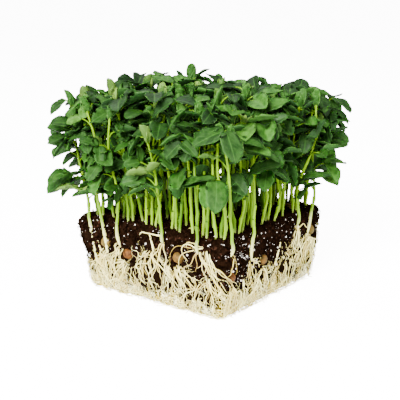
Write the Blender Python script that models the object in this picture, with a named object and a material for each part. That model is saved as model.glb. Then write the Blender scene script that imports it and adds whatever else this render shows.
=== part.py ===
"""Pea shoots growing in a rooted block of potting mix, as lifted out of a square growing tray.

The block stands on z = 0 with its centre on the Z axis and its sides along X and Y. A pale mat of
roots holds the dark mix from below, seeds lie in its faces, and the shoots stand in holes in its top.
"""

import math

import bmesh
import bpy
import numpy as np
from mathutils.bvhtree import BVHTree

# The block, as the tray moulded it: a square with rounded corners that narrows towards the bottom.
BLOCK_TOP = 0.132
BLOCK_BASE = 0.119
BLOCK_HEIGHT = 0.053
BLOCK_CORNER = 0.008
GAP = 0.0003

# The root mat: a floor and a wall of matted roots round the lower part of the mix.
MAT_FLOOR = 0.004
MAT_WALL = 0.0026
MAT_FOOT_INSET = 0.0022
MAT_LIP = 0.0006
MAT_RELIEF = 0.0007
MAT_SEGMENTS = 64
MAT_ROWS = (0.8, 0.55, 0.3, 0.08)
# Height of the mat's upper edge at even steps round the block, from the middle of the +X face
# through the +Y, -X and -Y faces.
EDGE_HEIGHTS = (
    0.030, 0.034, 0.028, 0.033, 0.030, 0.024, 0.020, 0.028,
    0.037, 0.032, 0.018, 0.017, 0.023, 0.031, 0.034, 0.032,
)
EDGE_TOOTH = 0.0020
EDGE_BELOW_SEED = 0.0012

# Thick roots that climb the faces of the mix out of the mat's edge.
STRANDS = 20
STRAND_RADIUS = 0.0008
STRAND_DEPTH = 0.0015
STRAND_STEPS = 5
STRAND_TO_SEED = 0.0022

# The mix itself. Its count of points round a lap and the mat's are multiples of 8, so that both have a point
# at the middle of each corner and the mix stays clear of the mat.
SOIL_SEGMENTS = 32
SOIL_ROWS = (0.35, 0.7)
SOIL_TOP_RINGS = (0.7, 0.35)
SOIL_RELIEF = 0.0015

# Seeds: those in a face as (face, place along it, height), those on top as (x, y).
SEED_RADIUS = 0.0038
SEED_SQUASH = 0.88
SEED_SINK = 0.0014
SIDE_SEEDS = (
    ("-X", 0.0200, 0.031), ("-X", -0.0250, 0.037), ("-X", 0.0400, 0.036),
    ("-Y", -0.0500, 0.027), ("-Y", -0.0120, 0.030), ("-Y", 0.0500, 0.037), ("+X", 0.0180, 0.037),
)
TOP_SEEDS = ((-0.0465, -0.0270), (0.0455, -0.0455))

# The shoots: a grid of holes with one stem in each, or two at the corners and at every TWIN_EVERY-th
# outer hole.
GRID = 7
GRID_REACH = 0.0558
GRID_CORNER_PULL = 0.97
GRID_JITTER = 0.0020
TWIN_EVERY = 4
TWIN_SPLIT = 0.0035
TWIN_ROOT = 0.05
HOLE_RADIUS = 0.0023
HOLE_DEPTH = 0.010
STEM_RADIUS = 0.00125
TIP_RADIUS = 0.0008
SHOOT_HEIGHTS = (0.066, 0.084)
OUTWARD_LEAN = 0.006
LEAN_SPREAD = 0.008
STEM_WAVE = 0.0018
STEM_TRIES = 40
NODE_HALF = 0.0010
FIRST_NODE_RING = 3
BUD_LENGTH = 0.011
BUD_RINGS = ((0.4, 0.0029, 0.0014), (0.75, 0.0020, 0.0010))

# The canopy: a cushion over the block, a square with round corners that narrows and sags towards its top.
CANOPY_HALF = 0.095
CANOPY_CORNER = 0.038
CANOPY_WIDEST = 0.112
CANOPY_TOP = 0.152
CANOPY_NARROWS = 0.016
CANOPY_SAG = 0.030

# Leaves: a petiole with a pair of leaflets and a short tendril, and a pair of stipules round the stem.
LEAF_SHARES = (0.50, 0.76, 1.0)
LOW_LEAVES_HANG = 22
BLADE_HALF = 0.0005
PETIOLE_HALF = 0.00075
LEAF_TRIES = 60
CLEARANCE = 0.0007
SEED = 2026


# ---------------------------------------------------------------- helpers


def add_object(name, points, faces, finish, collection):
    mesh = bpy.data.meshes.new(name)
    mesh.from_pydata([tuple(p) for p in points], [], [tuple(f) for f in faces])
    mesh.validate()
    if finish is not None:
        mesh.materials.append(finish)
    made = bpy.data.objects.new(name, mesh)
    collection.objects.link(made)
    return made


def material(name, colour, roughness):
    made = bpy.data.materials.new(name)
    made.use_nodes = True
    shader = made.node_tree.nodes["Principled BSDF"]
    shader.inputs["Base Color"].default_value = (*colour, 1.0)
    shader.inputs["Roughness"].default_value = roughness
    shader.inputs["Metallic"].default_value = 0.0
    return made


def combined(target, parts, operation):
    """Joins the objects in parts to target, or cuts them from it, as one Boolean, and removes them."""
    helpers = bpy.data.collections.new(target.name + "_parts")
    bpy.context.scene.collection.children.link(helpers)
    for part in parts:
        for holder in part.users_collection:
            holder.objects.unlink(part)
        helpers.objects.link(part)
    boolean = target.modifiers.new("combined", "BOOLEAN")
    boolean.operation = operation
    boolean.operand_type = "COLLECTION"
    boolean.collection = helpers
    boolean.solver = "EXACT"
    bpy.context.view_layer.update()
    graph = bpy.context.evaluated_depsgraph_get()
    whole = bpy.data.meshes.new_from_object(target.evaluated_get(graph))
    target.modifiers.clear()
    target.data = whole
    for part in parts:
        bpy.data.objects.remove(part)
    bpy.data.collections.remove(helpers)
    return target


def loft(rings, first_point=None, last_point=None):
    """A closed skin over rings of equal count. An end closes on a point, or flat where it has none."""
    count = len(rings[0])
    points = [p for ring in rings for p in ring]
    faces = []
    for row in range(len(rings) - 1):
        for i in range(count):
            a, b = row * count + i, row * count + (i + 1) % count
            faces.append((a, b, b + count, a + count))
    for row, apex, order in ((0, first_point, -1), (len(rings) - 1, last_point, 1)):
        loop = [row * count + i for i in range(count)][::order]
        if apex is None:
            faces.append(loop)
            continue
        points.append(apex)
        faces += [(loop[i], loop[(i + 1) % count], len(points) - 1) for i in range(count)]
    return points, faces


def wire(name, path, radius, widths, collection):
    """A four-sided wire along path, made as a curve with a bevel and turned into a closed mesh."""
    curve = bpy.data.curves.new(name, "CURVE")
    curve.dimensions = "3D"
    curve.bevel_depth = radius
    curve.bevel_resolution = 0
    curve.use_fill_caps = True
    spline = curve.splines.new("POLY")
    spline.points.add(len(path) - 1)
    for point, place, width in zip(spline.points, path, widths):
        point.co = (*place, 1.0)
        point.radius = width
    guide = bpy.data.objects.new(name + "_guide", curve)
    collection.objects.link(guide)
    bpy.context.view_layer.update()
    mesh = bpy.data.meshes.new_from_object(guide.evaluated_get(bpy.context.evaluated_depsgraph_get()))
    bpy.data.objects.remove(guide)
    shape = bmesh.new()
    shape.from_mesh(mesh)
    bmesh.ops.remove_doubles(shape, verts=shape.verts, dist=0.000001)
    shape.to_mesh(mesh)
    shape.free()
    made = bpy.data.objects.new(name, mesh)
    collection.objects.link(made)
    return made


def rings_along(path, sizes, side, sides=4):
    """Rings along path. sizes gives each ring's two half-widths, along the direction `side` and across."""
    path = np.asarray(path, float)
    rings = []
    for i, centre in enumerate(path):
        along = path[min(i + 1, len(path) - 1)] - path[max(i - 1, 0)]
        along = along / np.linalg.norm(along)
        wide = side - np.dot(side, along) * along
        wide = wide / np.linalg.norm(wide)
        deep = np.cross(along, wide)
        angles = [2 * math.pi * k / sides for k in range(sides)]
        wide_half, deep_half = sizes[i]
        wide, deep = wide * wide_half, deep * deep_half
        rings.append([centre + math.cos(a) * wide + math.sin(a) * deep for a in angles])
    return rings


# ---------------------------------------------------------------- the block


def block_half(z):
    """Half the side of the block's outer face at height z."""
    return (BLOCK_BASE + (BLOCK_TOP - BLOCK_BASE) * z / BLOCK_HEIGHT) / 2


def rounded_square(half, corner, turn):
    """Points on a rounded square, at the shares `turn` of one lap counter-clockwise from the middle of its
    +X side, with their outward normals. A lap is 4 straights and 4 quarter circles, walked by length."""
    half, turn = np.broadcast_arrays(np.asarray(half, float), np.asarray(turn, float))
    straight = 2 * (half - corner)
    side = straight + math.pi / 2 * corner
    walked = (turn % 1.0) * 4 * side + straight / 2
    quarter = np.floor(walked / side)
    along = walked - quarter * side
    angle = np.clip(along - straight, 0, None) / corner
    x = half - corner + corner * np.cos(angle)
    y = np.minimum(along, straight) - straight / 2 + corner * np.sin(angle)
    heading = quarter * math.pi / 2
    cos, sin = np.cos(heading), np.sin(heading)
    place = np.stack([x * cos - y * sin, x * sin + y * cos], -1)
    return place, np.stack([np.cos(heading + angle), np.sin(heading + angle)], -1)


def lap_length(z):
    """Length of one lap round the block at height z."""
    return 4 * (2 * (block_half(z) - BLOCK_CORNER) + math.pi / 2 * BLOCK_CORNER)


def seed_turn(face, along, z):
    """Where along the lap a seed in a face lies."""
    middle, way = {"+X": (0.0, 1), "+Y": (0.25, -1), "-X": (0.5, -1), "-Y": (0.75, 1)}[face]
    return middle + way * along / lap_length(z)


def edge_height(turn):
    """Upper edge of the root mat: smooth between the stated heights, with a tooth for each bundle of roots,
    and dipping under every seed."""
    turn = np.asarray(turn, float) % 1.0
    steps = len(EDGE_HEIGHTS)
    low = np.floor(turn * steps).astype(int)
    share = (1 - np.cos((turn * steps - low) * math.pi)) / 2
    heights = np.array(EDGE_HEIGHTS)
    edge = heights[low % steps] * (1 - share) + heights[(low + 1) % steps] * share
    edge = edge + EDGE_TOOTH * np.sin(turn * 2 * math.pi * 17) * np.cos(turn * 2 * math.pi * 5)
    for face, along, z in SIDE_SEEDS:
        away = np.abs((turn - seed_turn(face, along, z) + 0.5) % 1.0 - 0.5) * lap_length(z)
        beyond = np.clip(away - 1.5 * SEED_RADIUS, 0, None)
        edge = np.minimum(edge, z - SEED_RADIUS - EDGE_BELOW_SEED + 1.2 * beyond)
    return edge


def lumps(x, y, z):
    """Crumbly relief from 0 to 1: waves of unlike lengths, multiplied and added."""
    first = np.sin(310 * x + 170 * z + 1.0) * np.cos(270 * y - 140 * z)
    second = np.sin(730 * x - 410 * y + 610 * z + 2.0)
    return np.clip(0.5 + 0.32 * first + 0.24 * second, 0, 1)


def seed_centres():
    """Centres of the seeds: sunk a little in a face of the mix, or in its top."""
    found = []
    for face, along, z in SIDE_SEEDS:
        axis, sign = "XY".index(face[1]), float(face[0] + "1")
        centre = np.array([along, along, z])
        centre[axis] = sign * (block_half(z) - MAT_WALL - GAP - SEED_SINK)
        found.append(centre)
    return found + [np.array([x, y, BLOCK_HEIGHT - SEED_SINK]) for x, y in TOP_SEEDS]


def seed_shape(name, centre, grown, finish, collection):
    """A dried pea: a ball that is a little flat from pole to pole."""
    mesh = bpy.data.meshes.new(name)
    shape = bmesh.new()
    bmesh.ops.create_icosphere(shape, subdivisions=2, radius=SEED_RADIUS + grown)
    bmesh.ops.scale(shape, vec=(1, 1, SEED_SQUASH), verts=shape.verts)
    bmesh.ops.translate(shape, vec=centre, verts=shape.verts)
    shape.to_mesh(mesh)
    shape.free()
    mesh.materials.append(finish)
    made = bpy.data.objects.new(name, mesh)
    collection.objects.link(made)
    return made


def strand(index, collection):
    """One thick root, from inside the mat's wall up the mix's face, or None where a seed is in its way."""
    draw = np.random.default_rng([SEED, 7, index])
    start = (index + 0.5 * draw.random()) / STRANDS
    drift = draw.uniform(-0.016, 0.016)
    bow = draw.uniform(-0.006, 0.006)
    low = float(edge_height(start + np.array([-1, 0, 1]) / MAT_SEGMENTS).min()) - 0.007
    high = min(float(edge_height(start + drift)) + draw.uniform(0.006, 0.020), BLOCK_HEIGHT - 0.003)
    path = []
    for share in np.linspace(0, 1, STRAND_STEPS):
        z = low + (high - low) * share
        turn = start + drift * share + bow * math.sin(share * math.pi)
        place, normal = rounded_square(block_half(z), BLOCK_CORNER, turn)
        path.append(np.array([*(place - normal * STRAND_DEPTH), z]))
    if min(np.linalg.norm(p - s) for p in path for s in seed_centres()) < SEED_RADIUS + STRAND_TO_SEED:
        return None
    return wire(f"strand_{index}", path, STRAND_RADIUS, np.linspace(1.1, 0.75, STRAND_STEPS), collection)


def root_mat(finish, collection):
    """The mat, from the middle of its floor up the inner wall, over the edge and down the outer wall."""
    turn = np.arange(MAT_SEGMENTS) / MAT_SEGMENTS
    top = edge_height(turn)

    def ring(z, inset, corner=BLOCK_CORNER):
        z = np.broadcast_to(z, turn.shape)
        place, _ = rounded_square(block_half(z) - inset, corner, turn)
        return [(*xy, h) for xy, h in zip(place, z)]

    inner_corner = BLOCK_CORNER - MAT_WALL
    rings = [ring(MAT_FLOOR, MAT_WALL, inner_corner), ring(top - MAT_LIP, MAT_WALL, inner_corner)]
    rings.append(ring(top, 1.5 * MAT_LIP))
    for row, share in enumerate(MAT_ROWS):
        waves = np.sin(turn * 2 * math.pi * 20 + 2.2 * row) * np.cos(turn * 2 * math.pi * 7 + row)
        rings.append(ring(top * share, MAT_RELIEF * waves))
    rings.append(ring(0.0, MAT_FOOT_INSET))
    # The rings run inwards out, so they are turned round to face outwards.
    points, faces = loft(rings[::-1], last_point=(0, 0, MAT_FLOOR))
    mat = add_object("root_mat", points, faces, finish, collection)
    strands = [strand(i, collection) for i in range(STRANDS)]
    return combined(mat, [s for s in strands if s], "UNION")


def soil(finish, collection, holes):
    """The mix: a lumpy block inside the mat, with a hole for each shoot and a hollow for each seed."""
    turn = np.arange(SOIL_SEGMENTS) / SOIL_SEGMENTS
    inset = MAT_WALL + GAP
    corner = BLOCK_CORNER - inset
    foot = MAT_FLOOR + GAP

    def side_ring(z, relief):
        place, normal = rounded_square(block_half(z) - inset, corner, turn)
        place = place - normal * (relief * lumps(place[:, 0], place[:, 1], z))[:, None]
        return [(*xy, z) for xy in place]

    def top_ring(scale):
        place, _ = rounded_square((block_half(BLOCK_HEIGHT) - inset - 0.001) * scale, corner * scale, turn)
        height = BLOCK_HEIGHT - SOIL_RELIEF * lumps(place[:, 0], place[:, 1], 0.0)
        return [(*xy, z) for xy, z in zip(place, height)]

    shoulder = BLOCK_HEIGHT - 2 * SOIL_RELIEF
    rings = [side_ring(foot, 0.0)]
    rings += [side_ring(foot + (shoulder - foot) * share, SOIL_RELIEF) for share in (*SOIL_ROWS, 1.0)]
    rings += [top_ring(scale) for scale in (1.0, *SOIL_TOP_RINGS)]
    points, faces = loft(rings, last_point=(0, 0, BLOCK_HEIGHT - SOIL_RELIEF / 2))
    block = add_object("soil", points, faces, finish, collection)
    cutters = [hole_cutter(i, x, y, finish, collection) for i, (x, y) in enumerate(holes)]
    for i, centre in enumerate(seed_centres()):
        cutters.append(seed_shape(f"hollow_{i}", centre, GAP + 0.0001, finish, collection))
    return combined(block, cutters, "DIFFERENCE")


def hole_cutter(index, x, y, finish, collection):
    """A square plug that leaves a stem's hole in the mix."""
    mesh = bpy.data.meshes.new(f"hole_{index}")
    shape = bmesh.new()
    bmesh.ops.create_cone(
        shape, cap_ends=True, segments=4, radius1=HOLE_RADIUS, radius2=HOLE_RADIUS, depth=2 * HOLE_DEPTH
    )
    bmesh.ops.translate(shape, vec=(x, y, BLOCK_HEIGHT), verts=shape.verts)
    shape.to_mesh(mesh)
    shape.free()
    mesh.materials.append(finish)
    made = bpy.data.objects.new(f"hole_{index}", mesh)
    collection.objects.link(made)
    return made


def hole_places():
    """(x, y, sides) of each hole, with the number of the block's sides that it stands by: a square grid
    with some jitter, its corners drawn in."""
    draw = np.random.default_rng([SEED, 1])
    steps = np.linspace(-GRID_REACH, GRID_REACH, GRID)
    places = []
    for i, x in enumerate(steps):
        for j, y in enumerate(steps):
            edges = (i in (0, GRID - 1)) + (j in (0, GRID - 1))
            pull = GRID_CORNER_PULL if edges == 2 else 1.0
            jitter = draw.uniform(-GRID_JITTER, GRID_JITTER, 2) * (0.5 if edges else 1.0)
            places.append((x * pull + jitter[0], y * pull + jitter[1], edges))
    return places


def stem_draw(hole, twin, attempt):
    """The numbers that shape one stem, drawn for this attempt."""
    draw = np.random.default_rng([SEED, 10 + twin, hole, attempt])
    return {
        "height": draw.uniform(*SHOOT_HEIGHTS),
        "lean": draw.uniform(-LEAN_SPREAD, LEAN_SPREAD, 2),
        "wave": draw.uniform(-STEM_WAVE, STEM_WAVE),
        "heading": draw.uniform(0, 2 * math.pi),
        "azimuth": draw.uniform(0, 2 * math.pi),
    }


def stem_point(place, split, numbers, share):
    """A stem's centre line at a share of its height over the mix: it leans out from the block's middle,
    bows from side to side, and twins part just over the mix."""
    x, y = place
    outward = np.array([x, y]) / GRID_REACH * OUTWARD_LEAN
    parting = np.array(split) * min(share / 0.12, 1.0)
    heading = np.array([math.cos(numbers["heading"]), math.sin(numbers["heading"])])
    wave = numbers["wave"] * math.sin(2.2 * math.pi * share) * heading
    side = (outward + numbers["lean"]) * share**1.4 + wave + parting
    return np.array([x + side[0], y + side[1], BLOCK_HEIGHT + 0.001 + numbers["height"] * share])


def stem_rings(stem, grown=0.0):
    """Rings of four points up the stem and its bud. Each leaf node lies between two close rings."""
    place, split, numbers = stem["place"], stem["split"], stem["numbers"]
    shares = [0.0, 0.25] if not stem["twin"] else [0.12, 0.3]
    for share in LEAF_SHARES:
        half = NODE_HALF / numbers["height"]
        shares += [share - half, share + half]
    path = [stem_point(place, split, numbers, share) for share in shares]
    if stem["twin"]:
        path.insert(0, stem["root"])
    else:
        path.insert(0, np.array([*place, BLOCK_HEIGHT - HOLE_DEPTH + GAP]))
    radii = np.interp([0.0, *shares], (0.0, 1.0), (STEM_RADIUS, TIP_RADIUS)) + grown
    sizes = [(r, r) for r in radii]
    rise = path[-1] - path[-2]
    rise = rise / np.linalg.norm(rise)
    top = path[-1]
    for share, wide, deep in BUD_RINGS:
        path.append(top + rise * BUD_LENGTH * share)
        sizes.append((wide + grown, deep + grown))
    side = np.array([math.cos(numbers["azimuth"]), math.sin(numbers["azimuth"]), 0.0])
    return rings_along(path, sizes, side), top + rise * BUD_LENGTH


def node_quad(stem, slot, face, grown=0.0):
    """The four corners of the stem's face that a leaf or a stipule grows out of, as (ring, corner) pairs
    and as points: lower right, lower left, upper left and upper right, as seen from outside."""
    rings, _ = stem_rings(stem, grown)
    low = FIRST_NODE_RING + 2 * slot
    pairs = [(low, face), (low, (face + 1) % 4), (low + 1, (face + 1) % 4), (low + 1, face)]
    return pairs, [rings[row][corner] for row, corner in pairs]


def stem_mesh(stem, blades=(), grown=0.0):
    """The stem from the floor of its hole to its bud, four-sided as a pea's stem is. Each blade, given as
    (corner pairs, points, faces), takes the place of one of its faces."""
    rings, tip = stem_rings(stem, grown)
    points, faces = loft(rings, last_point=tip)
    for pairs, blade_points, blade_faces in blades:
        corners = [row * 4 + corner for row, corner in pairs]
        faces = [face for face in faces if set(face) != set(corners)]
        first = len(points) - 4
        points += list(blade_points[4:])
        faces += [tuple(corners[i] if i < 4 else first + i for i in face) for face in blade_faces]
    return points, faces


def turned(vector, axis, angle):
    """The vector turned about a unit axis (Rodrigues' formula)."""
    cos, sin = math.cos(angle), math.sin(angle)
    return vector * cos + np.cross(axis, vector) * sin + axis * np.dot(axis, vector) * (1 - cos)


def leaf_draw(key, slot, attempt, azimuth):
    """The numbers that shape one leaf, drawn for this attempt. Later attempts are smaller."""
    draw = np.random.default_rng([SEED, 100 + slot, key, attempt])
    scale = 1.0 - 0.3 * attempt / LEAF_TRIES
    return {
        "azimuth": azimuth + math.radians(draw.uniform(-60, 60)),
        "petiole": scale * draw.uniform(0.009, 0.018),
        "rises": np.radians([draw.uniform(40, 72), draw.uniform(5, 45)]),
        "pitch": math.radians(draw.uniform(-20, 30) - (LOW_LEAVES_HANG if slot == 0 else 0)),
        "roll": math.radians(draw.uniform(-30, 30)),
        "spread": math.radians(draw.uniform(42, 66)),
        "droops": np.radians(draw.uniform(-25, 35, 2)),
        "length": scale * draw.uniform(0.018, 0.025),
        "ratio": draw.uniform(0.60, 0.74),
        "arch": draw.uniform(0.04, 0.20),
        "fold": draw.uniform(0.05, 0.30),
        "tendril": draw.uniform(0.004, 0.008),
    }


def stipule_draw(key, slot, attempt, azimuth):
    """The numbers that shape one stipule, drawn for this attempt."""
    draw = np.random.default_rng([SEED, 200 + slot, key, attempt])
    scale = 1.0 - 0.3 * attempt / LEAF_TRIES
    return {
        "azimuth": azimuth + math.radians(draw.uniform(-40, 40)),
        "tilt": math.radians(draw.uniform(5, 55)),
        "roll": math.radians(draw.uniform(-35, 35)),
        "length": scale * draw.uniform(0.011, 0.016),
        "ratio": draw.uniform(0.60, 0.80),
    }


# A leaflet's outline on one side, as shares of its (length, width): along the outer edge, tip, inner edge.
LEAFLET_RIM = ((0.20, -0.42), (0.62, -0.46), (1.0, 0.0), (0.62, 0.46), (0.22, 0.36))
STIPULE_RIM = ((0.25, -0.45), (0.72, -0.42), (1.0, 0.08), (0.50, 0.48))
# Faces of a leaf. Points 0-3 are the stem's face, 4-7 the petiole's middle, 8 and 9 the sides of its neck,
# 10-14 and 15-19 the leaflets' outlines, 20 the tendril; then the neck and the two leaflets' middles, each
# first over the blade and then under it.
PETIOLE_FACES = (
    (0, 1, 5, 4), (1, 2, 6, 5), (2, 3, 7, 6), (3, 0, 4, 7), (7, 6, 21), (6, 5, 9), (5, 4, 22), (4, 7, 8),
    (6, 9, 21), (5, 22, 9), (4, 8, 22), (7, 21, 8),
)
LEAFLET_FACES = (
    ("N", 8, "R"), (8, 10, "R"), (10, 11, "R"), (11, 12, "R"), (12, 13, "R"), (13, 14, "R"), (14, "N", "R"),
    ("N", 14, 20), ("N", 20, 19), ("N", 19, "L"), (19, 18, "L"), (18, 17, "L"), (17, 16, "L"),
    (16, 15, "L"), (15, 9, "L"), (9, "N", "L"),
)
LEAFLET_SIDES = ({"N": 21, "R": 23, "L": 25}, {"N": 22, "R": 24, "L": 26})
# Faces of a stipule: 0-3 the stem's face, 4-7 the outline, 8 and 9 the middle over and under.
STIPULE_FACES = (
    (3, 2, 8), (2, 7, 8), (7, 6, 8), (6, 5, 8), (5, 4, 8), (4, 3, 8),
    (0, 1, 9), (1, 7, 9), (7, 6, 9), (6, 5, 9), (5, 4, 9), (4, 0, 9), (0, 3, 4), (1, 2, 7),
)


def leaflet_faces():
    """The leaflets' faces, alike over and under the blade."""
    return [tuple(side.get(i, i) for i in face) for side in LEAFLET_SIDES for face in LEAFLET_FACES]


def compass(azimuth):
    """The level direction at an azimuth, straight up, and the direction to the right of the first."""
    out, up = np.array([math.cos(azimuth), math.sin(azimuth), 0.0]), np.array([0.0, 0.0, 1.0])
    return out, up, np.cross(out, up)


def leaf_points(quad, numbers, grown=0.0):
    """A leaf: its petiole climbs out of the stem, arches over and carries two leaflets and a tendril."""
    root = np.mean(quad, axis=0)
    out, up, right = compass(numbers["azimuth"])
    first, second = numbers["rises"]
    half_way = numbers["petiole"] / 2
    middle = root + half_way * (math.cos(first) * out + math.sin(first) * up)
    neck = middle + half_way * (math.cos(second) * out + math.sin(second) * up)
    half = PETIOLE_HALF + grown
    lean = (first + second) / 2
    over = (math.cos(lean) * up - math.sin(lean) * out) * half
    beside = right * half
    under, above = middle - over, middle + over
    points = [*quad, under + beside, under - beside, above - beside, above + beside]

    forward = math.cos(numbers["pitch"]) * out + math.sin(numbers["pitch"]) * up
    across = turned(right, forward, numbers["roll"])
    face = np.cross(across, forward)
    points += [neck + across * half, neck - across * half]
    length, width = numbers["length"] + grown, numbers["length"] * numbers["ratio"] + 2 * grown
    middles = []
    for way, droop in ((1, numbers["droops"][0]), (-1, numbers["droops"][1])):
        flat = math.cos(numbers["spread"]) * forward + way * math.sin(numbers["spread"]) * across
        inner = way * np.cross(face, flat)
        axis = math.cos(droop) * flat - math.sin(droop) * face
        normal = math.cos(droop) * face + math.sin(droop) * flat
        for along, aside in (*LEAFLET_RIM, (0.45, 0.0)):
            lift = numbers["fold"] * abs(aside) * width - numbers["arch"] * length * along**2
            place = neck + axis * along * length + inner * aside * width + normal * lift
            if aside or along == 1.0:
                points.append(place)
        middles += [place + normal * (BLADE_HALF + grown), place - normal * (BLADE_HALF + grown)]
    points.append(neck + forward * numbers["tendril"])
    return points + [neck + face * half, neck - face * half] + middles


def stipule_points(quad, numbers, grown=0.0):
    """A stipule: half of a pair, standing out from the stem with its broad edge down."""
    root = np.mean(quad, axis=0)
    out, up, right = compass(numbers["azimuth"])
    axis = math.cos(numbers["tilt"]) * out + math.sin(numbers["tilt"]) * up
    aside_way = turned(right, axis, numbers["roll"])
    normal = np.cross(aside_way, axis)
    length, width = numbers["length"] + grown, numbers["length"] * numbers["ratio"] + 2 * grown
    rim = [root + axis * along * length - aside_way * aside * width for along, aside in STIPULE_RIM]
    middle = root + axis * 0.5 * length
    return [*quad, *rim, middle + normal * (BLADE_HALF + grown), middle - normal * (BLADE_HALF + grown)]


class Room:
    """What already stands over the mix, so that each new stem or leaf grows clear of it."""

    def __init__(self):
        self.taken = []

    def is_free(self, shape, passing=()):
        """True if the shape crosses nothing, other than what is named in passing."""
        points, faces = shape
        tree = BVHTree.FromPolygons([tuple(p) for p in points], faces)
        low, high = np.min(points, axis=0), np.max(points, axis=0)
        for other, other_low, other_high, name in self.taken:
            apart = (low > other_high).any() or (high < other_low).any()
            if not apart and name not in passing and tree.overlap(other):
                return False
        return True

    def take(self, shape, name):
        points, faces = shape
        tree = BVHTree.FromPolygons([tuple(p) for p in points], faces)
        self.taken.append((tree, np.min(points, axis=0), np.max(points, axis=0), name))


def grow_stems(room, holes):
    """One stem for each hole, or twins, each in the first of its drawn shapes that clears the others. The
    second of two twins branches off the first just over the mix."""
    stems = []
    outer_count = 0
    for hole, (x, y, sides) in enumerate(holes):
        outer = sides > 0
        outer_count += outer
        ways = (1, -1) if sides == 2 or (outer and outer_count % TWIN_EVERY == 0) else (0,)
        along_edge = np.array([-y, x]) / math.hypot(x, y) if any(ways) else np.zeros(2)
        names = [("stem", hole, twin) for twin in range(len(ways))]
        for twin, way in enumerate(ways):
            stem = {"hole": hole, "twin": twin, "place": (x, y), "outer": outer}
            stem["split"] = along_edge * way * TWIN_SPLIT
            if twin:
                first = stems[-1]
                stem["root"] = stem_point(first["place"], first["split"], first["numbers"], TWIN_ROOT)
            for attempt in range(STEM_TRIES):
                stem["numbers"] = stem_draw(hole, twin, attempt)
                if room.is_free(stem_mesh(stem, grown=CLEARANCE), names):
                    room.take(stem_mesh(stem), names[twin])
                    stems.append(stem)
                    break
    return stems


def in_canopy(points):
    """True where all the points lie within the canopy's cushion."""
    x, y, z = np.asarray(points).T
    up = np.clip((z - CANOPY_WIDEST) / (CANOPY_TOP - CANOPY_WIDEST), 0.0, 1.0)
    inner = CANOPY_HALF - CANOPY_CORNER - CANOPY_NARROWS * up
    beyond = np.hypot(np.maximum(np.abs(x) - inner, 0.0), np.maximum(np.abs(y) - inner, 0.0))
    sag = CANOPY_SAG * (np.hypot(x, y) / (CANOPY_HALF * math.sqrt(2))) ** 3
    return bool(np.all(beyond < CANOPY_CORNER) and np.all(z < CANOPY_TOP - sag))


def grow_blade(room, stem, kind, slot, face):
    """The first drawn leaf or stipule that clears all that stands, on one face of the stem at one node. A
    stipule or a petiole may pass its own stem, where it grows out of it; leaflets may not."""
    key = 8 * stem["hole"] + 4 * stem["twin"] + face
    azimuth = stem["numbers"]["azimuth"] + math.pi / 4 + math.pi / 2 * face
    draw, make = (leaf_draw, leaf_points) if kind == "leaf" else (stipule_draw, stipule_points)
    faces = [*PETIOLE_FACES, *leaflet_faces()] if kind == "leaf" else list(STIPULE_FACES)
    own = ("stem", stem["hole"], stem["twin"])
    for attempt in range(LEAF_TRIES):
        numbers = draw(key, slot, attempt, azimuth)
        grown = make(node_quad(stem, slot, face)[1], numbers, CLEARANCE)
        if not in_canopy(grown) or not room.is_free((grown, faces), (own,)):
            continue
        if kind == "leaf" and not room.is_free((grown, leaflet_faces())):
            continue
        pairs, quad = node_quad(stem, slot, face)
        points = make(quad, numbers)
        room.take((points, faces), (kind, stem["hole"], stem["twin"], slot, face))
        return pairs, points, faces
    return None


def outward_face(stem):
    """The stem's face that looks most nearly away from the block's middle."""
    outward = math.atan2(stem["place"][1], stem["place"][0])
    return int(round((outward - stem["numbers"]["azimuth"]) / (math.pi / 2) - 0.5)) % 4


def grow_foliage(room, stems):
    """Leaves from the top down, on alternate sides of each stem, and then the outer stems' stipules."""
    blades = [[] for _ in stems]
    plan = [("leaf", slot, stem_number) for slot in (2, 1, 0) for stem_number in range(len(stems))]
    plan += [("stipule", slot, stem_number) for slot in (1, 0) for stem_number in range(len(stems))]
    for kind, slot, number in plan:
        stem = stems[number]
        inner_low = slot == 0 and not stem["outer"]
        if inner_low or (kind == "stipule" and not stem["outer"]):
            continue
        leaf_side = (outward_face(stem) + 2 * (slot % 2)) % 4 if stem["outer"] else (2 * slot) % 4
        faces = [leaf_side] if kind == "leaf" else [(leaf_side + 1) % 4, (leaf_side + 3) % 4]
        made = [grow_blade(room, stem, kind, slot, face) for face in faces]
        blades[number] += [blade for blade in made if blade]
    return blades


def shoot(hole, grown_stems, finish, collection):
    """One shoot, or twins, as one body with their leaves."""
    name = f"shoot_{hole + 1:02d}"
    stems = []
    for i, (stem, blades) in enumerate(grown_stems):
        stems.append(add_object(f"{name}_{i}", *stem_mesh(stem, blades), finish, collection))
    for stem in stems:
        shape = bmesh.new()
        shape.from_mesh(stem.data)
        bmesh.ops.recalc_face_normals(shape, faces=shape.faces)
        if shape.calc_volume(signed=True) < 0:
            bmesh.ops.reverse_faces(shape, faces=shape.faces)
        shape.to_mesh(stem.data)
        shape.free()
    if len(stems) > 1:
        combined(stems[0], stems[1:], "UNION")
    stems[0].name = name


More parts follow.
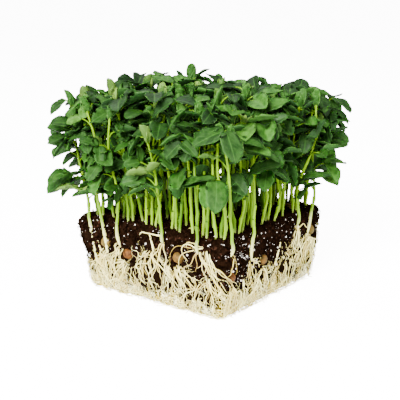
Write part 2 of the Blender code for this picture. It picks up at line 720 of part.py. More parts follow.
def main():
    for thing in list(bpy.data.objects):
        bpy.data.objects.remove(thing)
    collection = bpy.data.collections.new("pea_shoots")
    bpy.context.scene.collection.children.link(collection)
    mix = material("potting_mix", (0.035, 0.020, 0.014), 0.9)
    roots = material("roots", (0.80, 0.74, 0.58), 0.7)
    pea = material("pea_seed", (0.42, 0.22, 0.11), 0.6)
    green = material("pea_green", (0.16, 0.36, 0.07), 0.5)

    holes = hole_places()
    root_mat(roots, collection)
    soil(mix, collection, [(x, y) for x, y, _ in holes])
    for i, centre in enumerate(seed_centres()):
        seed_shape(f"seed_{i + 1}", centre, 0.0, pea, collection)

    room = Room()
    stems = grow_stems(room, holes)
    blades = grow_foliage(room, stems)
    for hole in sorted({stem["hole"] for stem in stems}):
        own = [(stem, blades[i]) for i, stem in enumerate(stems) if stem["hole"] == hole]
        shoot(hole, own, green, collection)
    counts = [sum(len(p.vertices) - 2 for p in o.data.polygons) for o in collection.objects]
    print("stems", len(stems), "blades", sum(map(len, blades)), "triangles", sum(counts))


main()
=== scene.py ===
# %% [markdown]
# # A rooted block of pea shoots
# Pea shoots are sold as a living block: a square of dark potting mix, bound by a white web of roots, with
# a dense stand of young pea plants on top. The measured model gives the block, the seeds and the shoots
# as plain closed solids. This lesson keeps every one of those forms and gives it the finish of the real
# thing: thin veined leaves, wet roots and crumbly mix. Everything is in metres, with Z up.

# %% Load the measured model
import math

import bpy
import numpy as np
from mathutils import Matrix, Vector
from mathutils.kdtree import KDTree


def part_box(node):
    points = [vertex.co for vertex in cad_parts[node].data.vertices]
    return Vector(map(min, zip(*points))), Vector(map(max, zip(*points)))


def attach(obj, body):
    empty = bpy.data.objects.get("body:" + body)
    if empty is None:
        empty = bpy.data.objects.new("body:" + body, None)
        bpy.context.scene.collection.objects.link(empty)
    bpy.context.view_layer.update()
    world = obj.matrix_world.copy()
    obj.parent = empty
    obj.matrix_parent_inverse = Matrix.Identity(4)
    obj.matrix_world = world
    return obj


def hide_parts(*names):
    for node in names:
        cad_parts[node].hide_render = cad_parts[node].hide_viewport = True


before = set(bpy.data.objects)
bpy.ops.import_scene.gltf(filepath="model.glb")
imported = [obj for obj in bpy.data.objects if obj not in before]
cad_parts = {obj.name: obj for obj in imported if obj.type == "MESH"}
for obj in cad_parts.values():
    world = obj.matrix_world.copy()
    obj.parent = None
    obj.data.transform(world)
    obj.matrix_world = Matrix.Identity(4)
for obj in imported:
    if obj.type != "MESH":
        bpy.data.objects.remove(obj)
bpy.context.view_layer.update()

# %% [markdown]
# ## Sizes
# The model was grown from a few sizes and seeded draws. The same sizes are written here once more, so
# that each fine stem, leaf and root can be worked out again and lie where the model has it. The block's
# width is read from the model and printed beside the width written here.

# %% Sizes shared with the model
SEED = 2026
GAP = 0.0003
BLOCK_TOP = 0.132
BLOCK_BASE = 0.119
BLOCK_HEIGHT = 0.053
BLOCK_CORNER = 0.008
GRID = 7
GRID_REACH = 0.0558
GRID_CORNER_PULL = 0.97
GRID_JITTER = 0.0020
TWIN_EVERY = 4
TWIN_SPLIT = 0.0035
TWIN_ROOT = 0.05
HOLE_DEPTH = 0.010
STEM_RADIUS = 0.00125
TIP_RADIUS = 0.0008
SHOOT_HEIGHTS = (0.066, 0.084)
OUTWARD_LEAN = 0.006
LEAN_SPREAD = 0.008
STEM_WAVE = 0.0018
STEM_TRIES = 40
NODE_HALF = 0.0010
FIRST_NODE_RING = 3
BUD_LENGTH = 0.011
BUD_RINGS = ((0.4, 0.0029, 0.0014), (0.75, 0.0020, 0.0010))
LEAF_SHARES = (0.50, 0.76, 1.0)
LOW_LEAVES_HANG = 22
LEAF_TRIES = 60
SAME_PLACE = 0.0001

mat_low, mat_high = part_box("root_mat")
print("block width in the model", round(mat_high.x - mat_low.x, 4), "and here", BLOCK_TOP)

# %% [markdown]
# ## Meshes from whole arrays
# Every surface below is a formula worked out on a grid of points with numpy. A part is a small dictionary:
# its points, its four-sided and three-sided faces, the number of its finish, and for each point a place on
# the surface (uv) and four painted values that the materials read.


# %% A part of a mesh
def part(points, quads, triangles, paint, uv=None, finish=0):
    """A part of a mesh. paint is four values for each point, or four for all of them."""
    count = len(points)
    paint, uv = np.broadcast_to(paint, (count, 4)), np.zeros((count, 2)) if uv is None else uv
    return {"points": points, "quads": quads, "triangles": triangles, "paint": paint, "uv": uv, "finish": finish}


def unit(vectors):
    """The vectors at length 1."""
    return vectors / np.linalg.norm(vectors, axis=-1, keepdims=True)


def repeated(faces, count, per_copy):
    """The same faces for a number of copies, each counted on from the points of the copy before."""
    return (faces + per_copy * np.arange(count)[:, None, None]).reshape(-1, faces.shape[-1])


def ring_faces(rows, columns):
    """Faces of a closed surface through rings of points: four-sided ones between the rings, and at each end
    a fan to one point more. The two end points come after all the rings."""
    row, col = np.meshgrid(np.arange(rows - 1), np.arange(columns), indexing="ij")
    here, beside = row * columns + col, row * columns + (col + 1) % columns
    quads = np.stack([here, beside, beside + columns, here + columns], -1).reshape(-1, 4)
    ring = np.arange(columns)
    after = (ring + 1) % columns
    last_ring, first_end = (rows - 1) * columns, rows * columns
    triangles = np.concatenate([
        np.stack([after, ring, np.full(columns, first_end)], -1),
        np.stack([last_ring + ring, last_ring + after, np.full(columns, first_end + 1)], -1),
    ])
    return quads, triangles


print("5 rings of 6 points have", [len(faces) for faces in ring_faces(5, 6)], "faces")

# %% [markdown]
# The arrays go into the mesh with foreach_set, many times faster than one vertex after another. The painted
# values are a colour attribute, which every material can read by its name.


# %% Make a piece of its parts
def stacked(parts):
    """The arrays of all the parts in one, with each part's faces counted on from the points before it."""
    starts = np.cumsum([0] + [len(p["points"]) for p in parts])
    whole = {key: np.concatenate([p[key] for p in parts]).astype(np.float32) for key in ("points", "uv", "paint")}
    for kind in ("quads", "triangles"):
        whole[kind] = np.concatenate([p[kind] + at for p, at in zip(parts, starts)]).astype(np.int32)
    finish = [np.full(len(p[kind]), p["finish"]) for kind in ("quads", "triangles") for p in parts]
    whole["finish"] = np.concatenate(finish).astype(np.int32)
    return whole


def make_mesh(name, whole):
    """A smooth mesh of the stacked arrays."""
    quads, triangles = whole["quads"], whole["triangles"]
    corners = np.concatenate([quads.ravel(), triangles.ravel()])
    starts = np.concatenate([np.arange(len(quads)) * 4, 4 * len(quads) + np.arange(len(triangles)) * 3])
    mesh = bpy.data.meshes.new(name)
    mesh.vertices.add(len(whole["points"]))
    mesh.vertices.foreach_set("co", whole["points"].ravel())
    mesh.loops.add(len(corners))
    mesh.loops.foreach_set("vertex_index", corners)
    mesh.polygons.add(len(starts))
    mesh.polygons.foreach_set("loop_start", starts.astype(np.int32))
    mesh.update(calc_edges=True)
    mesh.polygons.foreach_set("material_index", whole["finish"])
    mesh.shade_smooth()
    mesh.uv_layers.new(name="surface").data.foreach_set("uv", whole["uv"][corners].ravel())
    paint = mesh.attributes.new("paint", "FLOAT_COLOR", "POINT")
    paint.data.foreach_set("color", whole["paint"].ravel())
    return mesh


def make_piece(name, parts, finishes, nodes=()):
    """Makes one object of the parts with the given finishes and ties it to the model: it rides on the root
    body, and the named nodes of the model are hidden, as it takes their place."""
    mesh = make_mesh(name, stacked(parts))
    for finish in finishes:
        mesh.materials.append(finish)
    piece = bpy.data.objects.new(name, mesh)
    bpy.context.scene.collection.objects.link(piece)
    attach(piece, "root")
    if nodes:
        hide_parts(*nodes)
    return piece


# %% [markdown]
# ## Tubes
# Stems, leaf stalks, tendrils and roots are all tubes: a ring of points is carried along a path. Many
# tubes with the same number of steps are made at once, because a block has thousands of roots.


# %% Carry rings along paths
def tubes(paths, radii, sides, across, paint):
    """Closed tubes along paths of shape (tubes, steps, 3). At each step the ring is
    p + r (cos a * u + sin a * v), where u is the direction `across` made square to the path, and v is square
    to both. Each end closes on a point half a radius further on. paint is four values for each step of each
    tube, or four for all of them."""
    count, steps, _ = paths.shape
    radii = np.broadcast_to(radii, (count, steps))
    along = unit(np.gradient(paths, axis=1))
    across = np.broadcast_to(across, paths.shape)
    u = unit(across - np.sum(across * along, -1, keepdims=True) * along)
    v = np.cross(along, u)
    angle = 2 * math.pi * np.arange(sides) / sides
    spokes = np.cos(angle)[:, None] * u[:, :, None] + np.sin(angle)[:, None] * v[:, :, None]
    rings = paths[:, :, None] + radii[:, :, None, None] * spokes
    first = paths[:, :1] - 0.5 * radii[:, :1, None] * along[:, :1]
    last = paths[:, -1:] + 0.5 * radii[:, -1:, None] * along[:, -1:]
    points = np.concatenate([rings.reshape(count, -1, 3), first, last], axis=1).reshape(-1, 3)

    share = np.concatenate([np.repeat(np.linspace(0, 1, steps), sides), [0.0, 1.0]])
    around = np.concatenate([np.tile(np.arange(sides) / sides, steps), [0.5, 0.5]])
    uv = np.tile(np.stack([around, share], -1), (count, 1))
    paint = np.asarray(paint, float)
    if paint.ndim == 3:
        paint = np.concatenate([np.repeat(paint, sides, axis=1), paint[:, :1], paint[:, -1:]], axis=1)
    per_tube = steps * sides + 2
    paint = np.broadcast_to(paint, (count, per_tube, 4)).reshape(-1, 4)
    quads, triangles = (repeated(faces, count, per_tube) for faces in ring_faces(steps, sides))
    return part(points, quads, triangles, paint, uv)


straight = np.linspace((0, 0, 0), (0, 0, 0.01), 5)[None]
print("a tube in 5 steps has", len(tubes(straight, 0.001, 6, (1, 0, 0), (0, 0, 0, 1))["points"]), "points")

# %% [markdown]
# ## Blades
# A leaflet is a thin lens: an upper and a lower skin that share one rim, so it is closed and has a real
# edge. Along it, t runs from 0 at the base to 1 at the tip; across it, s runs from -1 to 1.

# %% The grid of a blade
BLADE_ROWS = 8
BLADE_COLS = 6


def blade_grid(rows, cols):
    """Faces of a blade with `rows` steps along and `cols` steps across. The points are the upper skin's rows,
    rim and all, then the lower skin's without its rim, then the base and the tip."""
    inner_rows, width = rows - 1, cols + 1
    upper = np.arange(inner_rows * width).reshape(inner_rows, width)
    lower = upper.copy()
    lower[:, 1:-1] = inner_rows * width + np.arange(inner_rows * (width - 2)).reshape(inner_rows, width - 2)
    base = inner_rows * width + inner_rows * (width - 2)
    quads, triangles = [], []
    for skin, order in ((upper, 1), (lower, -1)):
        square = np.stack([skin[:-1, :-1], skin[1:, :-1], skin[1:, 1:], skin[:-1, 1:]], -1).reshape(-1, 4)
        first = np.stack([np.full(cols, base), skin[0, :-1], skin[0, 1:]], -1)
        last = np.stack([np.full(cols, base + 1), skin[-1, 1:], skin[-1, :-1]], -1)
        quads.append(square[:, ::order])
        triangles += [first[:, ::order], last[:, ::order]]
    return np.concatenate(quads), np.concatenate(triangles), base + 2


print("a blade has", blade_grid(BLADE_ROWS, BLADE_COLS)[2], "points")

# %% [markdown]
# The outline is an egg, with an ear at the base of a stipule, where it wraps round the stem. The same
# function later tests whether a leaf has room, so a leaf takes up the place that it was tested for.

# %% The outline of a blade
EGG_BASE, EGG_TIP, EGG_PEAK = 0.42, 0.52, 0.524
EAR_MIDDLE, EAR_REACH, EAR_SIZE = 0.16, 0.16, 0.45


def oval(t, s, lobe):
    """Half the width of a blade at t, as a share of its full width: t^0.42 (1 - t)^0.52, scaled to 1. lobe
    swells the base on the side s < 0, as on a stipule."""
    egg = t**EGG_BASE * (1 - t) ** EGG_TIP / EGG_PEAK
    ear = lobe * np.where(s < 0, np.exp(-(((t - EAR_MIDDLE) / EAR_REACH) ** 2)), 0.0)
    return 0.5 * (egg + EAR_SIZE * ear * np.sqrt(t))


print("half widths along a blade", np.round(oval(np.array([0.1, 0.3, 0.5, 0.7, 0.9]), 0, 0.0), 3))

# %% Bend the skins
BLADE_THICKNESS = 0.00022
CREASE_ROUND = 0.03
RIPPLE = 0.060
SIDE_BEND = 0.05
TIP_REACH, TIP_DROP = 1.02, 1.03
LEAF_FINISH = 1


def blade_marks(t, s):
    """What the finish reads at each point of a blade: 0 above and 1 below, the closeness to the rim, and the
    distance along; and the point's place on the flattened blade."""
    along, across = np.broadcast_arrays(t, s)
    over = np.stack([0 * along, np.abs(across) ** 3, along], -1)
    over[:, [0, -1], 0] = 0.5
    under = over[:, 1:-1].copy()
    under[..., 0] = 1.0
    marks = np.concatenate([over.reshape(-1, 3), under.reshape(-1, 3), [[0.5, 0.0, 0.0], [0.5, 1.0, 1.0]]])
    flat = np.stack([0.5 + 0.5 * across, along], -1)
    uv = np.concatenate([flat.reshape(-1, 2), flat[:, 1:-1].reshape(-1, 2), [[0.5, 0.0], [0.5, 1.0]]])
    return marks, uv


def blades(base, axis, normal, length, width, arch, fold, wave, tone, lobe=0.0, rows=BLADE_ROWS,
           cols=BLADE_COLS):
    """Blades at bases (blades, 3), each a lens over the surface
    base + L t * axis + (h s + bend) * aside + (F |h s| - A L t^2 + ripple) * normal, with h the half width of
    the oval, F the fold along the midrib, A the arch, and a ripple that grows towards the edge. paint holds
    the leaf's tone and the blade's marks."""
    count = len(base)
    even = np.linspace(0, 1, rows + 1)[1:-1, None]
    t = 0.35 * even + 0.65 * (1 - np.cos(math.pi * even)) / 2
    s = np.linspace(-1, 1, cols + 1)[None, :]
    length, width, arch, fold, wave, tone, lobe = (
        np.broadcast_to(np.asarray(given, float), (count,))[:, None, None]
        for given in (length, width, arch, fold, wave, tone, lobe)
    )
    half = width * oval(t, s, lobe)
    crease = np.sqrt((half * s) ** 2 + (CREASE_ROUND * width) ** 2) - CREASE_ROUND * width
    ripple = RIPPLE * width * s**2 * np.sin(9.0 * t + 2.0 * s + wave) * np.sin(math.pi * t)
    lift = fold * crease - arch * length * t**2 + ripple
    bend = SIDE_BEND * width * np.sin(wave * 1.7) * t**2
    aside = np.cross(normal, axis)

    def skin(extra):
        """Points at the given height over the middle of the blade."""
        run = np.broadcast_to(length * t, (count, rows - 1, cols + 1))
        place = base[:, None, None]
        for way, by in ((axis, run), (aside, half * s + bend), (normal, lift + extra)):
            place = place + way[:, None, None] * by[..., None]
        return place

    thick = BLADE_THICKNESS * (1 - s**2) * np.sqrt(np.sin(math.pi * t))
    upper, lower = skin(thick), skin(-thick)[:, :, 1:-1]
    tip = base + axis * length[:, 0] * TIP_REACH - normal * (arch * length * TIP_DROP)[:, 0]
    tip = tip + aside * bend[:, -1]
    skins = [upper.reshape(count, -1, 3), lower.reshape(count, -1, 3), base[:, None], tip[:, None]]
    points = np.concatenate(skins, axis=1).reshape(-1, 3)
    quads, triangles, per_blade = blade_grid(rows, cols)
    marks, uv = blade_marks(t, s)
    paint = np.empty((count, per_blade, 4))
    paint[..., 0] = tone[:, :, 0]
    paint[..., 1:] = marks
    quads, triangles = (repeated(faces, count, per_blade) for faces in (quads, triangles))
    return part(points, quads, triangles, paint.reshape(-1, 4), np.tile(uv, (count, 1)), LEAF_FINISH)


print("a blade is", 2000 * BLADE_THICKNESS, "mm thick")

# %% [markdown]
# ## Where the shoots stand
# The model's shoots were grown by a rule: for each stem and each leaf a few numbers are drawn from a
# seeded generator, and the first draw that touched nothing was kept. The same draws are made here. Which
# one was kept is read from the model itself: only the kept shape has its tips among the node's corners.

# %% The holes in the mix
def drawer(*key):
    """The generator of the draws that a key names."""
    return np.random.default_rng([SEED, *key])


def hole_places():
    """(x, y, sides) of each hole: a square grid with some jitter, its corners drawn in."""
    draw = drawer(1)
    steps = np.linspace(-GRID_REACH, GRID_REACH, GRID)
    places = []
    for i, x in enumerate(steps):
        for j, y in enumerate(steps):
            edges = (i in (0, GRID - 1)) + (j in (0, GRID - 1))
            pull = GRID_CORNER_PULL if edges == 2 else 1.0
            jitter = draw.uniform(-GRID_JITTER, GRID_JITTER, 2) * (0.5 if edges else 1.0)
            places.append((x * pull + jitter[0], y * pull + jitter[1], edges))
    return places


print("holes", len(hole_places()))

# %% [markdown]
# A stem rises by a drawn height, leans outwards a little more the higher it gets, and bows as a sine.
# Twins share a root and part just over the mix. The model carries a ring of four points up this line.

# %% The stems
STEM_START = 0.001
LEAN_POWER = 1.4
HALF_BOWS = 2.2
TWINS_PART_BY = 0.12


def stem_draw(hole, twin, attempt):
    """The numbers that shape one stem."""
    draw = drawer(10 + twin, hole, attempt)
    return {
        "height": draw.uniform(*SHOOT_HEIGHTS),
        "lean": draw.uniform(-LEAN_SPREAD, LEAN_SPREAD, 2),
        "wave": draw.uniform(-STEM_WAVE, STEM_WAVE),
        "heading": draw.uniform(0, 2 * math.pi),
        "azimuth": draw.uniform(0, 2 * math.pi),
    }


def stem_point(stem, share):
    """A stem's centre line at shares of its height: place + lean * share^1.4 + a sine across + the parting
    of twins, and its height over the mix."""
    numbers = stem["numbers"]
    share = np.asarray(share, float)[..., None]
    place = np.array(stem["place"])
    outward = place / GRID_REACH * OUTWARD_LEAN
    parting = stem["split"] * np.minimum(share / TWINS_PART_BY, 1.0)
    heading = np.array([math.cos(numbers["heading"]), math.sin(numbers["heading"])])
    wave = numbers["wave"] * np.sin(HALF_BOWS * math.pi * share) * heading
    flat = place + (outward + numbers["lean"]) * np.maximum(share, 0) ** LEAN_POWER + wave + parting
    return np.concatenate([flat, BLOCK_HEIGHT + STEM_START + numbers["height"] * share], axis=-1)


def level(azimuth):
    """The level direction at an azimuth."""
    return np.array([math.cos(azimuth), math.sin(azimuth), 0.0])


def stem_frame(stem):
    """The model's rings of four round the stem, with the stem's tip."""
    half = NODE_HALF / stem["numbers"]["height"]
    shares = [TWINS_PART_BY, 0.3] if stem["twin"] else [0.0, 0.25]
    shares += [share + way * half for share in LEAF_SHARES for way in (-1, 1)]
    path = stem_point(stem, shares)
    radii = np.interp([0.0, *shares], (0.0, 1.0), (STEM_RADIUS, TIP_RADIUS))
    rise = unit(path[-1] - path[-2])
    top = path[-1]
    path = np.concatenate([[stem["root"]], path, [top + rise * BUD_LENGTH * ring[0] for ring in BUD_RINGS]])
    wide = np.concatenate([radii, [ring[1] for ring in BUD_RINGS]])
    deep = np.concatenate([radii, [ring[2] for ring in BUD_RINGS]])
    ends = np.arange(len(path))
    along = unit(path[np.minimum(ends + 1, len(path) - 1)] - path[np.maximum(ends - 1, 0)])
    side = level(stem["numbers"]["azimuth"])
    u = unit(side - (along @ side)[:, None] * along)
    v = np.cross(along, u)
    spokes = [u * wide[:, None], v * deep[:, None], -u * wide[:, None], -v * deep[:, None]]
    return path[:, None] + np.stack(spokes, axis=1), top + rise * BUD_LENGTH


print("height of the first stem drawn", round(stem_draw(0, 0, 0)["height"], 4))

# %% [markdown]
# A leaf leaves the stem at a joint, on alternate sides. Its stalk rises steeply and then flattens, and
# carries two leaflets that spread, droop and roll by drawn angles.


# %% The leaves
def node_root(stem, slot, face):
    """Where a leaf grows out of the stem: the middle of one of its four faces at a node."""
    low = FIRST_NODE_RING + 2 * slot
    return stem["rings"][low:low + 2, [face, (face + 1) % 4]].reshape(-1, 3).mean(axis=0)


def turned(vector, axis, angle):
    """The vector turned about a unit axis (Rodrigues' formula)."""
    cos, sin = math.cos(angle), math.sin(angle)
    return vector * cos + np.cross(axis, vector) * sin + axis * np.dot(axis, vector) * (1 - cos)


def compass(azimuth):
    """The level direction at an azimuth, straight up, and the direction to the right of the first."""
    out, up = level(azimuth), np.array([0.0, 0.0, 1.0])
    return out, up, np.cross(out, up)


def leaf_draw(key, slot, attempt, azimuth):
    """The numbers that shape one leaf. Later attempts are smaller."""
    draw = drawer(100 + slot, key, attempt)
    scale = 1.0 - 0.3 * attempt / LEAF_TRIES
    return {
        "azimuth": azimuth + math.radians(draw.uniform(-60, 60)),
        "petiole": scale * draw.uniform(0.009, 0.018),
        "rises": np.radians([draw.uniform(40, 72), draw.uniform(5, 45)]),
        "pitch": math.radians(draw.uniform(-20, 30) - (LOW_LEAVES_HANG if slot == 0 else 0)),
        "roll": math.radians(draw.uniform(-30, 30)),
        "spread": math.radians(draw.uniform(42, 66)),
        "droops": np.radians(draw.uniform(-25, 35, 2)),
        "length": scale * draw.uniform(0.018, 0.025),
        "ratio": draw.uniform(0.60, 0.74),
        "arch": draw.uniform(0.04, 0.20),
        "fold": draw.uniform(0.05, 0.30),
        "tendril": draw.uniform(0.004, 0.008),
    }


def leaf_form(root, numbers):
    """A leaf's petiole (root, middle, neck), its forward direction, and axis and normal of each leaflet."""
    out, up, right = compass(numbers["azimuth"])
    first, second = numbers["rises"]
    half_way = numbers["petiole"] / 2
    middle = root + half_way * (math.cos(first) * out + math.sin(first) * up)
    neck = middle + half_way * (math.cos(second) * out + math.sin(second) * up)
    forward = math.cos(numbers["pitch"]) * out + math.sin(numbers["pitch"]) * up
    across = turned(right, forward, numbers["roll"])
    face = np.cross(across, forward)
    axes, normals = [], []
    for way, droop in ((1, numbers["droops"][0]), (-1, numbers["droops"][1])):
        flat = math.cos(numbers["spread"]) * forward + way * math.sin(numbers["spread"]) * across
        axes.append(math.cos(droop) * flat - math.sin(droop) * face)
        normals.append(math.cos(droop) * face + math.sin(droop) * flat)
    return {"root": root, "middle": middle, "neck": neck, "forward": forward, "face": face,
            "axes": np.array(axes), "normals": np.array(normals), "numbers": numbers}


def leaf_tips(form):
    """The model's corner points at the leaflets' tips."""
    numbers = form["numbers"]
    return form["neck"] + numbers["length"] * (form["axes"] - numbers["arch"] * form["normals"])


print("length of the first leaf drawn", round(leaf_draw(0, 0, 0, 0.0)["length"], 4))

# %% [markdown]
# At each joint two stipules, the small leaves that clasp a pea's stem, stand beside the leaf.

# %% The stipules
STIPULE_TIP_ASIDE = 0.08


def stipule_draw(key, slot, attempt, azimuth):
    """The numbers that shape one stipule."""
    draw = drawer(200 + slot, key, attempt)
    scale = 1.0 - 0.3 * attempt / LEAF_TRIES
    return {
        "azimuth": azimuth + math.radians(draw.uniform(-40, 40)),
        "tilt": math.radians(draw.uniform(5, 55)),
        "roll": math.radians(draw.uniform(-35, 35)),
        "length": scale * draw.uniform(0.011, 0.016),
        "ratio": draw.uniform(0.60, 0.80),
    }


def stipule_form(root, numbers):
    """A stipule's root, axis and normal."""
    out, up, right = compass(numbers["azimuth"])
    axis = math.cos(numbers["tilt"]) * out + math.sin(numbers["tilt"]) * up
    aside = turned(right, axis, numbers["roll"])
    return {"root": root, "axis": axis, "normal": np.cross(aside, axis), "aside": aside, "numbers": numbers}


def stipule_tips(form):
    """The model's corner point at the stipule's tip."""
    numbers = form["numbers"]
    return (form["root"] + form["axis"] * numbers["length"]
            - form["aside"] * STIPULE_TIP_ASIDE * numbers["length"] * numbers["ratio"])[None]


print("length of the first stipule drawn", round(stipule_draw(0, 0, 0, 0.0)["length"], 4))

# %% [markdown]
# The tips of each drawn shape are looked up among the corners of the shoot's node. The first draw whose
# tips are all found is the one that the model kept.

# %% Find the kept draws in the model
def tree_of(points):
    """A search tree of points."""
    tree = KDTree(len(points))
    for i, point in enumerate(points):
        tree.insert(point, i)
    tree.balance()
    return tree


def first_kept(tree, forms, tips):
    """The first form whose tips are all corners of the model."""
    for form in forms:
        if all(tree.find(Vector(tip))[2] < SAME_PLACE for tip in tips(form)):
            return form
    return None


def with_frame(stem, numbers):
    """The stem with one draw of its numbers, and the rings and tip that follow from it."""
    stem = {**stem, "numbers": numbers}
    if not stem["twin"]:
        stem["root"] = np.array([*stem["place"], BLOCK_HEIGHT - HOLE_DEPTH + GAP])
    stem["rings"], stem["tip"] = stem_frame(stem)
    return stem


def find_stems():
    """Every stem of the model, with the leaves and stipules that its node holds. None has a foot outside."""
    stems = []
    outer_count = 0
    for hole, (x, y, sides) in enumerate(hole_places()):
        outer = sides > 0
        outer_count += outer
        ways = (1, -1) if sides == 2 or (outer and outer_count % TWIN_EVERY == 0) else (0,)
        along_edge = np.array([-y, x]) / math.hypot(x, y)
        tree = tree_of([vertex.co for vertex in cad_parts[f"shoot_{hole + 1:02d}"].data.vertices])
        for twin, way in enumerate(ways):
            plan = {"hole": hole, "twin": twin, "place": (x, y), "outer": outer, "foot": None,
                    "split": along_edge * way * TWIN_SPLIT}
            if twin:
                plan["root"] = stem_point(stems[-1], TWIN_ROOT)
            tries = (with_frame(plan, stem_draw(hole, twin, attempt)) for attempt in range(STEM_TRIES))
            stem = first_kept(tree, tries, lambda form: [form["tip"]])
            if stem:
                stem["leaves"], stem["stipules"] = find_foliage(stem, tree)
                stems.append(stem)
    return stems


def find_foliage(stem, tree):
    """The leaves and stipules of one stem: leaves on alternate sides, stipules beside them."""
    x, y = stem["place"]
    outward = int(round((math.atan2(y, x) - stem["numbers"]["azimuth"]) / (math.pi / 2) - 0.5)) % 4
    leaves, stipules = [], []
    for slot in (2, 1, 0):
        side = (outward + 2 * (slot % 2)) % 4 if stem["outer"] else (2 * slot) % 4
        for face in (side, (side + 1) % 4, (side + 3) % 4):
            key = 8 * stem["hole"] + 4 * stem["twin"] + face
            azimuth = stem["numbers"]["azimuth"] + math.pi / 4 + math.pi / 2 * face
            root = node_root(stem, slot, face)
            if face == side:
                form, drawn, tips, found_list = leaf_form, leaf_draw, leaf_tips, leaves
            else:
                form, drawn, tips, found_list = stipule_form, stipule_draw, stipule_tips, stipules
            tries = (form(root, drawn(key, slot, attempt, azimuth)) for attempt in range(LEAF_TRIES))
            found = first_kept(tree, tries, tips)
            if found:
                found_list.append({**found, "slot": slot})
    return leaves, stipules


stems = find_stems()
print("stems", len(stems), "leaves", sum(len(s["leaves"]) for s in stems),
      "stipules", sum(len(s["stipules"]) for s in stems))


# %% [markdown]
# ## The block's outline
# The block grew in a tray, so its sides lean in towards the bottom and its corners are round. Every piece
# of it is laid out on the same two numbers: how far round the block a point lies, as a share of one lap,
# and its height.

# %% The block's outline
def block_half(z):
    """Half the side of the block's outer face at height z."""
    return (BLOCK_BASE + (BLOCK_TOP - BLOCK_BASE) * z / BLOCK_HEIGHT) / 2


def rounded_square(half, corner, turn):
    """Points on a rounded square at shares of one lap, walked by length from the middle of its +X side,
    with their outward normals: four straights and four quarter circles."""
    half, turn = np.broadcast_arrays(np.asarray(half, float), np.asarray(turn, float))
    straight = 2 * (half - corner)
    side = straight + math.pi / 2 * corner
    walked = (turn % 1.0) * 4 * side + straight / 2
    quarter = np.floor(walked / side)
    along = walked - quarter * side
    angle = np.clip(along - straight, 0, None) / np.maximum(corner, 1e-6)
    x = half - corner + corner * np.cos(angle)
    y = np.minimum(along, straight) - straight / 2 + corner * np.sin(angle)
    heading = quarter * math.pi / 2
    cos, sin = np.cos(heading), np.sin(heading)
    place = np.stack([x * cos - y * sin, x * sin + y * cos], -1)
    return place, np.stack([np.cos(heading + angle), np.sin(heading + angle)], -1)


def on_face(turn, z, depth):
    """Points at shares of a lap and heights, `depth` outside the block's face."""
    place, normal = rounded_square(block_half(z), BLOCK_CORNER, turn)
    return np.concatenate([place + normal * np.asarray(depth)[..., None], np.asarray(z)[..., None]], -1)


def lap_length(z):
    """Length of one lap round the block at height z."""
    return 4 * (2 * (block_half(z) - BLOCK_CORNER) + math.pi / 2 * BLOCK_CORNER)


def face_turn(face, along, z):
    """The share of a lap at which a place on a face lies."""
    middle, way = {"+X": (0.0, 1), "+Y": (0.25, -1), "-X": (0.5, -1), "-Y": (0.75, 1)}[face]
    return middle + way * along / lap_length(z)


print("one lap at the top", round(float(lap_length(BLOCK_HEIGHT)), 3))

# %% [markdown]
# The white mat of roots ends in a ragged line, high in the middle of one side and low at the near corner:
# a smooth curve through sixteen heights, with a fine tooth on it, that dips under each seed.

# %% The edge of the mat
MAT_FLOOR = 0.004
MAT_WALL = 0.0026
EDGE_HEIGHTS = (0.030, 0.034, 0.028, 0.033, 0.030, 0.024, 0.020, 0.028,
                0.037, 0.032, 0.018, 0.017, 0.023, 0.031, 0.034, 0.032)
EDGE_TOOTH = 0.0020
TOOTH_WAVES = (17, 5)
SEED_RADIUS = 0.0038
SIDE_SEEDS = (("-X", 0.0200, 0.031), ("-X", -0.0250, 0.037), ("-X", 0.0400, 0.036), ("-Y", -0.0500, 0.027),
              ("-Y", -0.0120, 0.030), ("-Y", 0.0500, 0.037), ("+X", 0.0180, 0.037))
EDGE_BELOW_SEED = 0.0012
EDGE_RISE_BY_SEED = 1.2


def edge_height(turn):
    """Upper edge of the root mat: smooth between stated heights, toothed, and dipping under every seed."""
    turn = np.asarray(turn, float) % 1.0
    steps = len(EDGE_HEIGHTS)
    low = np.floor(turn * steps).astype(int)
    share = (1 - np.cos((turn * steps - low) * math.pi)) / 2
    heights = np.array(EDGE_HEIGHTS)
    edge = heights[low % steps] * (1 - share) + heights[(low + 1) % steps] * share
    fine, coarse = TOOTH_WAVES
    edge = edge + EDGE_TOOTH * np.sin(turn * 2 * math.pi * fine) * np.cos(turn * 2 * math.pi * coarse)
    for face, along, z in SIDE_SEEDS:
        away = np.abs((turn - face_turn(face, along, z) + 0.5) % 1.0 - 0.5) * lap_length(z)
        beyond = np.clip(away - 1.5 * SEED_RADIUS, 0, None)
        edge = np.minimum(edge, z - SEED_RADIUS - EDGE_BELOW_SEED + EDGE_RISE_BY_SEED * beyond)
    return edge


print("lowest place of the edge", round(float(edge_height(np.linspace(0, 1, 200)).min()), 4))

# %% [markdown]
# ## More stems and leaves between
# The model holds the stems and leaves that make the stand's shape. A living stand is closer: thinner
# stems come up between the others, with leaves of their own. They are added by rule: draw a stem or leaf,
# and keep it only if it stays clear of all that stands.

# %% The cushion of the canopy
CANOPY_HALF = 0.0925
CANOPY_CORNER = 0.038
CANOPY_WIDEST = 0.112
CANOPY_TOP = 0.1535
CANOPY_NARROWS = 0.016
CANOPY_SAG = 0.030


